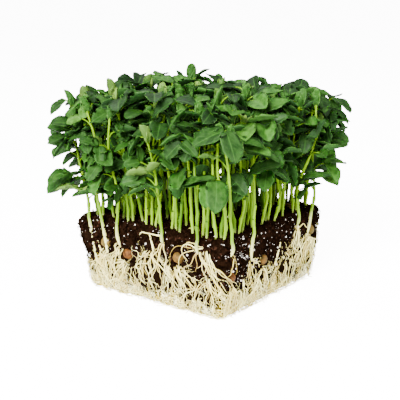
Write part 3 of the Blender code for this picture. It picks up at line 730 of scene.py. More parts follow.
def in_canopy(points):
    """True where all the points lie within the canopy's cushion: a rounded square that narrows towards the
    top, under a domed roof."""
    x, y, z = points.T
    up = np.clip((z - CANOPY_WIDEST) / (CANOPY_TOP - CANOPY_WIDEST), 0.0, 1.0)
    inner = CANOPY_HALF - CANOPY_CORNER - CANOPY_NARROWS * up
    beyond = np.hypot(np.maximum(np.abs(x) - inner, 0.0), np.maximum(np.abs(y) - inner, 0.0))
    sag = CANOPY_SAG * (np.hypot(x, y) / (CANOPY_HALF * math.sqrt(2))) ** 3
    return bool(np.all(beyond < CANOPY_CORNER) and np.all(z < CANOPY_TOP - sag))


print("the middle of the canopy lies in it:", in_canopy(np.array([[0.0, 0.0, CANOPY_WIDEST]])))

# %% [markdown]
# Light reaches low leaves only from the side, so the stand is bare below. The leaves go down least at the
# near corner, where the stems show, and further to both sides of it.

# %% The lowest leaves
LOWEST_LEAF = 0.090
HIGHER_AT_CORNER = 0.020
LOWER_LEFT = 0.026
LOWER_RIGHT = 0.020
LOWER_BEHIND = 0.022


def lowest_leaf(place):
    """The least height of a leaf at a place: higher at the (-X, -Y) corner, lower at the corners beside it
    and in the half behind the middle."""
    left, right = (np.clip((way * (place[1] - place[0]) - 0.02) / 0.07, 0, 1) for way in (1, -1))
    behind = np.clip((place[0] + place[1] + 0.01) / 0.04, 0, 1)
    higher = np.clip((-place[0] - place[1]) / 0.05, 0, 1) * (1 - left) * (1 - right)
    lower = max(LOWER_LEFT * left, LOWER_RIGHT * right, LOWER_BEHIND * behind)
    return LOWEST_LEAF + HIGHER_AT_CORNER * higher - lower


print("lowest leaf at the near corner", round(float(lowest_leaf((-0.06, -0.06))), 3))

# %% [markdown]
# A leaf has room if no point of it comes too near to what stands. A search tree answers that quickly, but
# takes time to make, so the newest points are kept beside it and measured one by one.

# %% Room to stand
TREE_EVERY = 24
SAMPLES_ALONG = (0.18, 0.45, 0.72, 1.0)
SAMPLES_ACROSS = (-0.9, -0.4, 0.0, 0.4, 0.9)
LINE_SAMPLES = 40
STALK_STEPS = 7


def leaflet_samples(form):
    """Points over both leaflets: neck + L t axis + h s aside + (F |h s| - A L t^2) normal."""
    numbers = form["numbers"]
    length, width = numbers["length"], numbers["length"] * numbers["ratio"]
    t, s = (grid.ravel()[None, :, None] for grid in np.meshgrid(SAMPLES_ALONG, SAMPLES_ACROSS))
    axis, normal = form["axes"][:, None], form["normals"][:, None]
    half = width * oval(t, s, 0.0)
    lift = numbers["fold"] * np.abs(half * s) - numbers["arch"] * length * t**2
    return (form["neck"] + axis * length * t + np.cross(normal, axis) * half * s + normal * lift).reshape(-1, 3)


def stalk_line(form):
    """A leaf stalk: (1-t)^2 root + 2t(1-t) c + t^2 neck, with c set so that it runs through its middle."""
    t = np.linspace(0, 1, STALK_STEPS)[:, None]
    control = 2 * form["middle"] - (form["root"] + form["neck"]) / 2
    return (1 - t) ** 2 * form["root"] + 2 * t * (1 - t) * control + t**2 * form["neck"]


class Stand:
    """The points of all that stands, leaves apart from stems and leaf stalks."""

    def __init__(self):
        self.points = {"leaf": [], "stem": []}
        self.recent = {"leaf": [], "stem": []}
        self.trees = {"leaf": None, "stem": None}

    def add(self, kind, points):
        """Takes in more points."""
        self.points[kind].append(points)
        self.recent[kind].append(points)
        if len(self.recent[kind]) > TREE_EVERY:
            self.trees[kind] = None

    def clears(self, kind, points, room):
        """True if every point is further than `room` from all points of that kind."""
        if self.trees[kind] is None:
            self.trees[kind] = tree_of(np.concatenate(self.points[kind]))
            self.recent[kind] = []
        if self.recent[kind]:
            apart = points[:, None] - np.concatenate(self.recent[kind])[None]
            if (np.einsum("ijk,ijk->ij", apart, apart) < room * room).any():
                return False
        return all(self.trees[kind].find(point)[2] > room for point in points)

    def add_leaf(self, form):
        """Takes in a leaf's two leaflets and the outer half of its stalk."""
        self.add("leaf", leaflet_samples(form))
        self.add("stem", stalk_line(form)[STALK_STEPS // 2:])


def model_stand():
    """The stand as the model has it: stems, leaves, stalks and stipules."""
    stand = Stand()
    for stem in stems:
        stand.add("stem", stem_point(stem, np.linspace(0, 1, LINE_SAMPLES)))
        for leaf in stem["leaves"]:
            stand.add_leaf(leaf)
        for blade in stem["stipules"]:
            reach = np.linspace(0.3, 1, 4)[:, None] * blade["numbers"]["length"]
            stand.add("leaf", blade["root"] + reach * blade["axis"])
    return stand


stand = model_stand()
print("leaves and stipules that stand", len(stand.points["leaf"]))

# %% [markdown]
# Most extra stems come up just inside the block's edge, where light is best. A few bare ones run down the
# faces outside the mix, where a seed sprouted against the tray's wall.

# %% Where the extra stems come up
EXTRA_STEMS = 84
STEMS_BEHIND = 30
STEMS_LEFT = 20
EDGE_BAND = (0.88, 1.04)
LEFT_BAND = (0.35, 1.02)
MIDDLE_REACH = 0.85
BARE_STEMS = (("-X", 0.0480, 0.018), ("-X", 0.0370, 0.025), ("-X", 0.0240, 0.036), ("-X", -0.0040, 0.036),
              ("-X", -0.0150, 0.046), ("-X", -0.0440, 0.044), ("-X", -0.0505, 0.046), ("-Y", -0.0560, 0.044),
              ("-Y", -0.0300, 0.034), ("-Y", 0.0260, 0.046), ("-Y", 0.0420, 0.034), ("+X", -0.0330, 0.035),
              ("+X", 0.0400, 0.030), ("+Y", -0.0250, 0.036), ("+Y", 0.0380, 0.028))
BARE_DEPTHS = (-0.0002, -0.0006)


def bare_ends(face, along, z):
    """Top and foot of a bare stem on the block's face."""
    return on_face(face_turn(face, along, z), np.array([BLOCK_HEIGHT, z]), np.array(BARE_DEPTHS))


def extra_places():
    """Places of the other extra stems: two thirds just inside the block's edge, the rest anywhere, then more
    in the half behind the middle, and in the (-X, +Y) quarter."""
    draw = drawer(31)
    edge = EXTRA_STEMS * 2 // 3
    run = (np.arange(edge) + draw.uniform(-0.3, 0.3, edge)) / edge * 4
    side, along = np.floor(run).astype(int) % 4, (run % 1.0) * 2 - 1
    near, far = draw.uniform(*EDGE_BAND, edge) * GRID_REACH, along * GRID_REACH
    x = np.choose(side, [near, -far, -near, far])
    y = np.choose(side, [far, near, -far, -near])
    middle = draw.uniform(-MIDDLE_REACH, MIDDLE_REACH, (EXTRA_STEMS - edge, 2)) * GRID_REACH
    behind = draw.uniform(-1.0, 1.0, (STEMS_BEHIND, 2)) * GRID_REACH
    behind = np.where(behind.sum(axis=1, keepdims=True) > 0, behind, -behind[:, ::-1])
    left = draw.uniform(*LEFT_BAND, (STEMS_LEFT, 2)) * (-GRID_REACH, GRID_REACH)
    return np.concatenate([np.stack([x, y], -1), middle, behind, left])


print("places for extra stems", len(BARE_STEMS) + len(extra_places()))

# %% Grow the extra stems
TRIES = 30
STEM_ROOM = 0.0018
STEM_TO_STEM = 2.2 * STEM_RADIUS
THIN_HEIGHTS = (0.80, 0.26)
THIN_WAVE = 1.8
THIN_LEAN = 1.3
GOLDEN_SHARE = 0.618
FIRST_EXTRA = 200


def grow_stem(number, place, foot=None):
    """The first drawn stem that has room at a place, lower than the model's and more bent. foot is where a
    bare stem ends."""
    for attempt in range(TRIES):
        numbers = stem_draw(FIRST_EXTRA + number, 0, attempt)
        lowest, more = THIN_HEIGHTS
        numbers["height"] *= lowest + more * ((number * GOLDEN_SHARE + attempt / TRIES) % 1.0)
        numbers["wave"] *= THIN_WAVE
        numbers["lean"] *= THIN_LEAN
        plan = {"hole": FIRST_EXTRA + number, "twin": 0, "place": place, "outer": False, "split": np.zeros(2)}
        stem = {**with_frame(plan, numbers), "leaves": [], "stipules": [], "foot": foot}
        line = stem_point(stem, np.linspace(0, 1, LINE_SAMPLES))
        if stand.clears("stem", line, STEM_TO_STEM) and stand.clears("leaf", line, STEM_ROOM):
            stand.add("stem", line)
            return stem
    return None


bare = [bare_ends(*plan) for plan in BARE_STEMS]
plans = [(top[:2], foot) for top, foot in bare] + [(place, None) for place in extra_places()]
extra_stems = [stem for number, plan in enumerate(plans) if (stem := grow_stem(number, *plan))]
print("extra stems", len(extra_stems))

# %% Add leaves where there is room
LEAF_ROOM = 0.0014
ADDED = 3
ADDED_SIZE = 0.70
ADDED_SIZE_ASIDE = 0.20
ADDED_SHRINK = 0.30
ADDED_PETIOLE = 0.90
ADDED_ROLL = 1.9
ADDED_PITCH = 0.55
ADDED_FOLD = 0.22
LEAF_TURN = 2.6
FIRST_KEY, KEYS_PER_STEM = 900, 14
SHARES_ON_MODEL = (0.63, 0.88, 0.96, 0.56, 0.80, 0.70, 0.34, 0.22, 0.50, 0.92, 0.75, 0.44, 0.28, 0.16)
SHARES_ON_THIN = (0.60, 0.80, 0.97, 0.70, 0.90, 0.38, 0.26, 0.50, 0.85, 0.65, 0.32, 0.20)


def grow_leaf(stem, share, azimuth, key):
    """Adds the first drawn leaf that has room at a share of the stem's height. Added leaves are smaller than
    the model's, larger towards the two side corners, and turned and folded more."""
    root = stem_point(stem, share)
    aside = min(abs(root[1] - root[0]) / 0.10, 1.0)
    for attempt in range(TRIES):
        numbers = leaf_draw(key, ADDED, attempt, azimuth)
        numbers["length"] *= ADDED_SIZE + ADDED_SIZE_ASIDE * aside - ADDED_SHRINK * attempt / TRIES
        numbers["roll"] *= ADDED_ROLL
        numbers["pitch"] += ADDED_PITCH * math.sin(97.0 * numbers["azimuth"])
        numbers["fold"] += ADDED_FOLD
        numbers["petiole"] *= ADDED_PETIOLE
        form = leaf_form(root, numbers)
        samples = leaflet_samples(form)
        if not in_canopy(samples) or samples[:, 2].min() < lowest_leaf(form["neck"]):
            continue
        if stand.clears("leaf", samples, LEAF_ROOM) and stand.clears("stem", samples, STEM_ROOM):
            stand.add_leaf(form)
            stem["leaves"].append({**form, "slot": ADDED})
            return


for number, stem in enumerate(stems + extra_stems):
    for i, share in enumerate(SHARES_ON_MODEL if number < len(stems) else SHARES_ON_THIN):
        turn = stem["numbers"]["azimuth"] + i * LEAF_TURN
        grow_leaf(stem, share, turn, FIRST_KEY + KEYS_PER_STEM * number + i)
print("leaves now", sum(len(s["leaves"]) for s in stems + extra_stems))


# %% [markdown]
# ## Finishes as recipes
# A finish is a small graph of shader nodes: noise at the size that the real stuff has becomes colour,
# roughness and small bumps. A helper keeps each recipe to a few lines.


# %% A helper for shader graphs
class Graph:
    """Adds nodes to a shader tree. An input may be given a value or another node's output."""

    def __init__(self, tree):
        self.tree = tree

    def add(self, kind, outlet=0, settings=None, **inputs):
        """A node of a kind, with its settings and inputs; gives back one of its outputs."""
        node = self.tree.nodes.new("ShaderNode" + kind)
        for key, value in (settings or {}).items():
            setattr(node, key, value)
        for name, value in inputs.items():
            socket = node.inputs[int(name[1:])] if name[1:].isdigit() else node.inputs[name.replace("_", " ")]
            if isinstance(value, bpy.types.NodeSocket):
                self.tree.links.new(value, socket)
            else:
                socket.default_value = (*value, 1.0) if socket.type == "RGBA" else value
        return node.outputs[outlet]

    def math(self, operation, *values):
        """Arithmetic on numbers."""
        inputs = {f"i{i}": value for i, value in enumerate(values)}
        return self.add("Math", settings={"operation": operation}, **inputs)

    def times(self, value, by):
        """One number times another."""
        return self.math("MULTIPLY", value, by)

    def times_plus(self, value, by, more):
        """One number times another, and a third added."""
        return self.math("MULTIPLY_ADD", value, by, more)

    def blend(self, share, first, second):
        """One colour mixed with another."""
        return self.add("Mix", 2, {"data_type": "RGBA"}, i0=share, i6=first, i7=second)

    def steps(self, value, low, high):
        """0 below low, 1 above high, smooth between."""
        smooth = {"interpolation_type": "SMOOTHSTEP"}
        return self.add("MapRange", 0, smooth, i0=value, i1=low, i2=high, i3=0.0, i4=1.0)

    def noise(self, place, scale, detail=2.0, outlet=0, distortion=0.0):
        """Cloudy noise with a number of blobs per metre."""
        return self.add("TexNoise", outlet, i0=place, Scale=scale, Detail=detail, Distortion=distortion)

    def cells(self, place, scale, feature="F1", outlet=0):
        """Cells, with a number of them per metre."""
        return self.add("TexVoronoi", outlet, {"feature": feature}, i0=place, Scale=scale)

    def bump(self, height, distance, strength):
        """A bump from a height, with its real depth in metres."""
        return self.add("Bump", Height=height, Distance=distance, Strength=strength)

    def effect(self, group, **inputs):
        """A shared effect, with this finish's own values; gives back its outputs by their names."""
        return self.add("Group", settings={"node_tree": group}, **inputs).node.outputs


def finish(name, recipe, third="Normal", **constants):
    """A material with a Principled shader. The recipe gives back its base colour, its roughness and a third
    input; constants are set on the shader's own sockets."""
    made = bpy.data.materials.new(name)
    made.use_nodes = True
    tree = made.node_tree
    shader = next(node for node in tree.nodes if node.type == "BSDF_PRINCIPLED")
    for key, value in constants.items():
        shader.inputs[key.replace("_", " ")].default_value = value
    for key, value in zip(("Base Color", "Roughness", third), recipe(Graph(tree))):
        tree.links.new(value, shader.inputs[key])
    return made


def object_place(graph):
    """The place on the object, in metres."""
    return graph.add("TexCoord", outlet=3)


def painted(graph):
    """The four painted values of a point: red, green, blue and alpha."""
    given = graph.add("Attribute", settings={"attribute_name": "paint"}).node.outputs
    split = graph.add("SeparateColor", i0=given["Color"]).node.outputs
    return split[0], split[1], split[2], given["Alpha"]


print("finishes so far", len(bpy.data.materials))

# %% [markdown]
# Two effects come back in nearly every finish: two colours in cloudy patches, and a fine grain that is
# felt more than seen. Each is a node group, built once and placed with its own values.

# %% Effects that the finishes share
SOCKETS = {"Place": "Vector", "Normal": "Vector", "First": "Color", "Second": "Color", "Colour": "Color"}


def shared_effect(name, inputs, build):
    """A node group with named inputs and outputs. build makes its nodes and gives back what it puts out.
    Sockets that aren't listed above carry numbers."""
    group = bpy.data.node_groups.new(name, "ShaderNodeTree")

    def add_sockets(labels, way):
        for label in labels:
            kind = "NodeSocket" + SOCKETS.get(label, "Float")
            group.interface.new_socket(name=label, in_out=way, socket_type=kind)

    add_sockets(inputs, "INPUT")
    results = build(Graph(group), group.nodes.new("NodeGroupInput").outputs)
    add_sockets(results, "OUTPUT")
    out = group.nodes.new("NodeGroupOutput")
    for label, value in results.items():
        group.links.new(value, out.inputs[label])
    return group


def patches_nodes(graph, given):
    """Noise, cut to a mask between two levels, mixes the second colour into the first."""
    cloudy = graph.noise(given["Place"], given["Scale"], given["Detail"])
    mask = graph.times(graph.steps(cloudy, given["Low"], given["High"]), given["Share"])
    return {"Colour": graph.blend(mask, given["First"], given["Second"]), "Cloud": cloudy}


def grain_nodes(graph, given):
    """Fine noise as a bump of a real depth."""
    fine = graph.noise(given["Place"], given["Scale"], given["Detail"], distortion=given["Distortion"])
    return {"Normal": graph.bump(fine, given["Depth"], given["Strength"]), "Grain": fine}


patches = shared_effect(
    "patches", ("Place", "Scale", "Detail", "Low", "High", "Share", "First", "Second"), patches_nodes)
grain = shared_effect("grain", ("Place", "Scale", "Detail", "Distortion", "Depth", "Strength"), grain_nodes)
print("shared effects", [group.name for group in bpy.data.node_groups])

# %% Leaf and stem finishes
SIDE_VEINS = 7.0
VEIN_SLANT = 0.75


def vein_nodes(graph, flat, place):
    """A midrib, and side veins that slant up from it, both wandering a little."""
    aside = graph.math("ABSOLUTE", graph.math("SUBTRACT", flat[0], 0.5))
    wander = graph.times(graph.math("SUBTRACT", graph.noise(place, 900.0), 0.5), 0.06)
    midrib = graph.steps(graph.math("ADD", aside, graph.math("ABSOLUTE", wander)), 0.050, 0.012)
    slant = graph.math("SUBTRACT", flat[1], graph.times(aside, VEIN_SLANT))
    wave = graph.math("FRACT", graph.times(graph.math("ADD", slant, wander), SIDE_VEINS))
    side_veins = graph.steps(graph.math("ABSOLUTE", graph.math("SUBTRACT", wave, 0.5)), 0.09, 0.02)
    return graph.math("MAXIMUM", midrib, graph.times(side_veins, 0.38))


def leaf_recipe(graph):
    """Deep green, deeper in old leaves: pale midrib and side veins, a pale thin rim, paler underneath."""
    place = object_place(graph)
    tone, under, rim = painted(graph)[:3]
    surface = graph.add("UVMap", settings={"uv_map": "surface"})
    veins = vein_nodes(graph, graph.add("SeparateXYZ", i0=surface).node.outputs, place)
    cloudy = {"Place": place, "Scale": 260.0, "Detail": 3.0, "Low": 0.3, "High": 0.7, "Share": 1.0}
    deep = graph.effect(patches, **cloudy, First=(0.0007, 0.0036, 0.0008), Second=(0.0029, 0.0104, 0.0024))
    fresh = graph.effect(patches, **cloudy, First=(0.010, 0.046, 0.003), Second=(0.036, 0.106, 0.013))["Colour"]
    young = graph.blend(graph.steps(tone, 0.95, 1.6), fresh, (0.120, 0.200, 0.030))
    # The tone holds the leaf's joint and drawn paleness, with painted light and shade by place added to it.
    body = graph.blend(graph.math("MINIMUM", tone, 1.0), deep["Colour"], young)
    body = graph.effect(patches, Place=place, Scale=48.0, Detail=2.0, Low=0.46, High=0.66, Share=0.22,
                        First=body, Second=(0.024, 0.050, 0.018))["Colour"]
    paler = graph.blend(graph.times(under, 0.50), body, (0.009, 0.036, 0.006))
    with_veins = graph.blend(graph.times(veins, 0.34), paler, (0.040, 0.115, 0.020))
    edge = graph.times(graph.steps(rim, 0.75, 1.0), 0.45)
    waves = graph.times_plus(graph.noise(place, 300.0), 6.0, graph.noise(place, 1500.0))
    relief = graph.times_plus(veins, -0.6, waves)
    gloss = graph.times_plus(deep["Cloud"], 0.24, 0.36)
    colour = graph.blend(edge, with_veins, (0.052, 0.130, 0.026))
    roughness = graph.math("ADD", graph.times(under, 0.14), gloss)
    return colour, roughness, graph.bump(relief, 0.00012, 0.7)


def stem_recipe(graph):
    """Cream white where the stem runs outside the mix, fresh yellow green above it, with fine ribs."""
    place = object_place(graph)
    tone, green = painted(graph)[:2]
    cloudy = graph.noise(place, 420.0)
    pale = graph.blend(cloudy, (0.600, 0.560, 0.170), (0.820, 0.780, 0.330))
    # The tone holds a drawn share and painted shade, darker for stems inside the stand.
    lush = graph.blend(tone, (0.018, 0.066, 0.0005), (0.175, 0.330, 0.0005))
    streaked = graph.effect(patches, Place=place, Scale=1100.0, Detail=2.0, Low=0.35, High=0.65, Share=0.25,
                            First=graph.blend(green, pale, lush), Second=(0.026, 0.085, 0.001))
    ribs = graph.effect(grain, Place=place, Scale=2200.0, Detail=2.0, Depth=0.00008, Strength=0.5)
    return streaked["Colour"], graph.times_plus(cloudy, 0.2, 0.3), ribs["Normal"]


pea_leaf = finish("pea_leaf", leaf_recipe, Specular_IOR_Level=0.05, Subsurface_Weight=0.10,
                  Subsurface_Scale=0.0010, Subsurface_Radius=(0.35, 1.0, 0.15))
pea_stem = finish("pea_stem", stem_recipe, Specular_IOR_Level=0.06, Subsurface_Weight=0.06,
                  Subsurface_Scale=0.0012, Subsurface_Radius=(0.6, 1.0, 0.2))
print("finishes", pea_leaf.name, pea_stem.name)

# %% [markdown]
# ## The shoots
# Each shoot replaces its plain solid with the same plant in fine parts: a round jointed stem, arched leaf
# stalks, veined leaflets in pairs, clasping stipules, a curled tendril between the leaflets, a folded bud
# at the top, and two scale leaves low down, the first that a pea seedling makes.

# %% The lines of the stems
STEM_STEPS = 30
FOOT_STEPS = 5
TWIN_FOOT = 0.0016
TWINS_TOUCH_TO = 0.25
FOOT_BOW = 0.0012
SCALE_SHARES = (0.13, 0.30)
SCALE_TURN = 2.2
KNEE, KNEE_REACH = 0.0007, 0.05


def stem_path(stem, shares):
    """The foot and the line of a stem: the rule's line, with twins side by side further up, a knee at each
    scale leaf, and a straight foot down into the mix or a bowed one outside it."""
    line = stem_point(stem, shares)
    apart = np.clip(shares / TWINS_PART_BY, 0, 1) - np.clip(shares / TWINS_TOUCH_TO, 0, 1) ** 1.5
    line[:, :2] -= apart[:, None] * stem["split"]
    split = np.linalg.norm(stem["split"])
    if split > 0:
        line[:, :2] += (TWIN_FOOT * np.clip(1 - shares / TWINS_TOUCH_TO, 0, 1) / split)[:, None] * stem["split"]
    turn = stem["numbers"]["azimuth"]
    for i, joint in enumerate(SCALE_SHARES):
        line += (KNEE * np.exp(-np.abs(shares - joint) / KNEE_REACH))[:, None] * level(turn + SCALE_TURN * i)
    bare = stem["foot"] is not None
    foot = stem["foot"] if bare else line[0] - np.array([0, 0, HOLE_DEPTH])
    steps = np.linspace(0, 1, FOOT_STEPS + 1)[:-1, None]
    below = foot + (line[0] - foot) * steps + FOOT_BOW * np.sin(math.pi * steps) * level(turn) * bare
    return below, line


print("a stem's line has", STEM_STEPS, "points")

# %% [markdown]
# Stems are swollen at each joint, thinner where they leave the mix, and white where they had no light.
# Painted shade makes those inside the stand darker, and those towards its outside lighter.

# %% The thickness and colour of the stems
STEM_FINENESS = 0.86
BARE_FOOT, SUNK_FOOT = 0.0017, 0.00085
BARE_POINT = (0.30, 0.72)
NECK, NECK_REACH = 0.24, 0.035
JOINT_SWELL, JOINT_REACH = 0.30, 0.016
BARE_GREENS, SUNK_GREENS = (0.95, 5.5), (0.80, 4.0)


def stem_size(shares, bare):
    """The radius at shares of the height: from foot to tip, with a thin neck at the mix and swollen joints."""
    ends = (BARE_FOOT if bare else SUNK_FOOT, STEM_RADIUS, TIP_RADIUS)
    size = STEM_FINENESS * np.interp(shares, (-0.4, 0, 1), ends)
    if bare:
        size[:2] *= BARE_POINT
    else:
        size = size * (1 - NECK * np.exp(-((shares / NECK_REACH) ** 2)))
    for joint in (*SCALE_SHARES, *LEAF_SHARES):
        size = size * (1 + JOINT_SWELL * np.exp(-(((shares - joint) / JOINT_REACH) ** 2)))
    return size


def stem_paint(stem, shares, foot_place):
    """Paint along a stem: its tone, by a drawn share and by painted shade that darkens stems inside the stand, and
    how green.
    """
    start, rise = SUNK_GREENS if stem["foot"] is None else BARE_GREENS
    # Painted shade: stems deep inside the stand get a darker tone, stems towards its outside a lighter one.
    outside = np.clip((np.abs(foot_place).max() / GRID_REACH - 0.35) / 0.55, 0, 1)
    drawn = (stem["numbers"]["azimuth"] * 7.7) % 1.0
    tone = (drawn * (0.20 + 0.60 * outside) + 0.14 * outside) * np.ones_like(shares)
    return np.stack([tone, np.clip(start + rise * shares, 0, 1), 0 * shares, 1 + 0 * shares], -1)


def stem_lines(group):
    """Paths, radii and paint of a group of stems, each up into its bud."""
    paths, radii, paint = [], [], []
    for stem in group:
        shares = np.linspace(0.0, 1.0, STEM_STEPS - 1 - FOOT_STEPS)
        below, line = stem_path(stem, shares)
        rise = unit(line[-1] - line[-2])
        paths.append(np.concatenate([below, line, [line[-1] + rise * 0.3 * BUD_LENGTH]]))
        down = (below[:, 2] - line[0, 2]) / stem["numbers"]["height"]
        shares = np.concatenate([down, shares, [1.05]])
        radii.append(stem_size(shares, stem["foot"] is not None))
        paint.append(stem_paint(stem, shares, line[0, :2]))
    return np.array(paths), np.array(radii), np.array(paint)


print("radii of a stem in mm", np.round(1000 * stem_size(np.linspace(0, 1, 6), False), 2))

# %% Tendrils and leaflets
TENDRIL_STEPS = 12
MORE_FOLD = 0.16
PAINTED_LIGHT_LEVEL = 0.130
OLD_BY_JOINT = (0.02, 0.06, 0.15, 0.03)


def tendrils(forms):
    """Curled tendrils: neck + 1.25 L (t - 0.3 t^2) forward + 0.0016 t (1.15 - t) (cos a * face + sin a * aside),
    where a is k t^2 and k grows with the tendril's length L."""
    t = np.linspace(0, 1, TENDRIL_STEPS)[None, :, None]
    neck, forward, face = (np.array([f[key] for f in forms])[:, None] for key in ("neck", "forward", "face"))
    length = np.array([f["numbers"]["tendril"] for f in forms])[:, None, None]
    turns = (5.0 + 900.0 * (length - 0.004)) * t**2
    curl = 0.0016 * t * (1.15 - t)
    around = curl * (np.cos(turns) * face + np.sin(turns) * np.cross(face, forward))
    return neck + length * (t - 0.3 * t**2) * forward * 1.25 + around


def leaflet_parts(forms, rows, cols):
    """The leaflets, two for each leaf, folded a little more than the model's flat facets. Their tone is set by
    the joint and is paler on a few drawn leaves; painted light makes it paler low down at the outside and on
    the lamp's side, and painted shade makes it darker near the top."""
    numbers = [f["numbers"] for f in forms]
    pull = {key: np.repeat([n[key] for n in numbers], 2) for key in ("length", "ratio", "arch", "fold", "azimuth")}
    base = np.repeat([f["neck"] for f in forms], 2, axis=0)
    axis, normal = (np.concatenate([f[key] for f in forms]) for key in ("axes", "normals"))
    wave = pull["azimuth"] * 5 + np.tile([0.0, 2.1], len(forms))
    old = np.array(OLD_BY_JOINT)[np.repeat([f["slot"] for f in forms], 2)]
    # Painted light and shade: leaves low at the outside and on the lamp's (-X) side get a paler tone, leaves near
    # the top a darker one.
    low = np.clip((PAINTED_LIGHT_LEVEL - base[:, 2]) / 0.030, 0, 1)
    high = np.clip((base[:, 2] - PAINTED_LIGHT_LEVEL) / 0.012, 0, 1)
    outer = np.clip((np.abs(base[:, :2]).max(axis=1) - 0.040) / 0.030, 0, 1)
    lit = np.clip(-base[:, 0] / 0.080, 0, 1)
    bright = 0.92 * np.sin(pull["azimuth"] * 23.0) ** 10
    tone = old * (1 - 0.4 * high) + bright + 0.34 * low * outer + 0.10 * lit * (1 - high)
    return blades(base, axis, normal, pull["length"], pull["length"] * pull["ratio"], pull["arch"],
                  pull["fold"] + MORE_FOLD, wave, tone, rows=rows, cols=cols)


print("points of a tendril", tendrils(stems[0]["leaves"][:1]).shape[1])

# %% Stipules, buds and scale leaves
BUD_ROOF = 0.1555
BUD_LEAVES = ((0.0105, 0.30), (0.0098, 0.34), (0.0082, 0.12), (0.0078, 0.55), (0.0072, 0.6))
BUD_TURN = 2.4
SCALE_LENGTH, SCALE_WIDTH = 0.0030, 0.0026


def levels(turn):
    """The level directions at many azimuths."""
    return np.stack([np.cos(turn), np.sin(turn), 0 * turn], -1)


def inward(axis, way):
    """The normal of a blade that stands along axis and turns its face in, against way."""
    return unit(np.cross(np.cross(axis, -way), axis))


def stipule_parts(forms):
    """The stipules: like leaflets, with an ear at the base."""
    numbers = [f["numbers"] for f in forms]
    length, ratio, azimuth = (np.array([n[key] for n in numbers]) for key in ("length", "ratio", "azimuth"))
    base, axis, normal = (np.array([f[key] for f in forms]) for key in ("root", "axis", "normal"))
    tone = 0.18 + 0.2 * np.sin(azimuth * 17.0) ** 2
    return blades(base, axis, normal, length, length * ratio, 0.06, 0.22, azimuth * 3, tone, lobe=0.8)


def bud_parts(group):
    """Young leaves folded over each other at the top of each stem, the outer ones longer."""
    top = np.array([stem_point(stem, 1.0) for stem in group])
    rise = unit(top - np.array([stem_point(stem, 0.96) for stem in group]))
    turn = np.array([stem["numbers"]["azimuth"] for stem in group])
    made = []
    for i, (length, lean) in enumerate(BUD_LEAVES):
        way = levels(turn + BUD_TURN * i)
        way = unit(way - np.sum(way * rise, -1, keepdims=True) * rise)
        axis = unit(rise + lean * way)
        tone = 0.55 + 0.12 * (i % 3) + 0.80 * np.sin(turn * 9) ** 4
        long = np.minimum(length * (1.15 + 0.35 * np.sin(turn * 31 + i)), BUD_ROOF - top[:, 2])
        made.append(blades(top - 0.0006 * rise, axis, inward(axis, way), long, 0.58 * long, -0.10, 0.75, turn + i,
                           tone, rows=6, cols=4))
    return made


def scale_parts(group):
    """Scale leaves: small clasping triangles at the two lowest joints, the lower one on single stems only."""
    made = []
    for i, share in enumerate(SCALE_SHARES):
        standing = [stem for stem in group if i > 0 or not stem["split"].any()]
        if standing:
            turn = np.array([stem["numbers"]["azimuth"] for stem in standing]) + SCALE_TURN * i
            way = levels(turn)
            axis = unit(np.array([0, 0, 1.0]) + 0.55 * way)
            base = np.array([stem_point(stem, share) for stem in standing]) + way * 0.5 * STEM_RADIUS
            made.append(blades(base, axis, inward(axis, way), SCALE_LENGTH, SCALE_WIDTH, -0.15, 0.5, turn, 0.75,
                               lobe=0.6, rows=5, cols=4))
    return made


print("leaves in a bud", len(BUD_LEAVES))

# %% All parts of a group of stems
STALK_RADII = np.interp(np.linspace(0, 1, STALK_STEPS), (0, 0.15, 1), (0.00075, 0.00050, 0.00036))
TENDRIL_RADII = np.linspace(0.00022, 0.00010, TENDRIL_STEPS)
STALK_PAINT = (0.38, 1.0, 0.0, 1.0)
TENDRIL_PAINT = (0.0, 1.0, 0.0, 1.0)
STALK_ACROSS = (0.3, 0.2, 1.0)


def shoot_parts(group):
    """All parts of a group of stems."""
    paths, radii, paint = stem_lines(group)
    parts = [tubes(paths, radii, 8, (1.0, 0.0, 0.0), paint)]
    leaves = [leaf for stem in group for leaf in stem["leaves"]]
    stipules = [blade for stem in group for blade in stem["stipules"]]
    if leaves:
        stalks = np.array([stalk_line(leaf) for leaf in leaves])
        parts.append(tubes(stalks, STALK_RADII, 6, STALK_ACROSS, STALK_PAINT))
        parts.append(tubes(tendrils(leaves), TENDRIL_RADII, 4, STALK_ACROSS, TENDRIL_PAINT))
    own, added = ([leaf for leaf in leaves if (leaf["slot"] == ADDED) == more] for more in (False, True))
    parts += [leaflet_parts(own, BLADE_ROWS, BLADE_COLS)] if own else []
    parts += [leaflet_parts(added, BLADE_ROWS - 1, BLADE_COLS - 2)] if added else []
    parts += [stipule_parts(stipules)] if stipules else []
    return parts + bud_parts(group) + scale_parts(group)


print("parts of the first shoot", len(shoot_parts(stems[:1])))

# %% One piece for each shoot of the model, and four for the extra stems
EXTRA_PIECES = 4

shoot_finishes = [pea_stem, pea_leaf]
for hole in range(GRID * GRID):
    group = [stem for stem in stems if stem["hole"] == hole]
    name = f"shoot_{hole + 1:02d}"
    make_piece(f"pea_{name}", shoot_parts(group), shoot_finishes, [name])
for i in range(EXTRA_PIECES):
    parts = shoot_parts(extra_stems[i::EXTRA_PIECES])
    make_piece(f"pea_shoots_between_{i + 1}", parts, shoot_finishes)
print("shoots", GRID * GRID, "and", len(extra_stems), "between")

# %% [markdown]
# ## Crumbly and woolly stuff
# Potting mix, a mat of roots and a shrunken pea have no smooth face. Each is a closed surface of rings
# whose points are moved in and out by value noise, which at several sizes gives lumps, crumbs and grit.

# %% Noise and closed shells
LATTICE_PRIMES = (73856093, 19349663, 83492791)
SEED_PRIME, LAYER_PRIME = 7919, 104729
LATTICE_START = 1000.0
HIGHEST = 0x7FFFFFFF


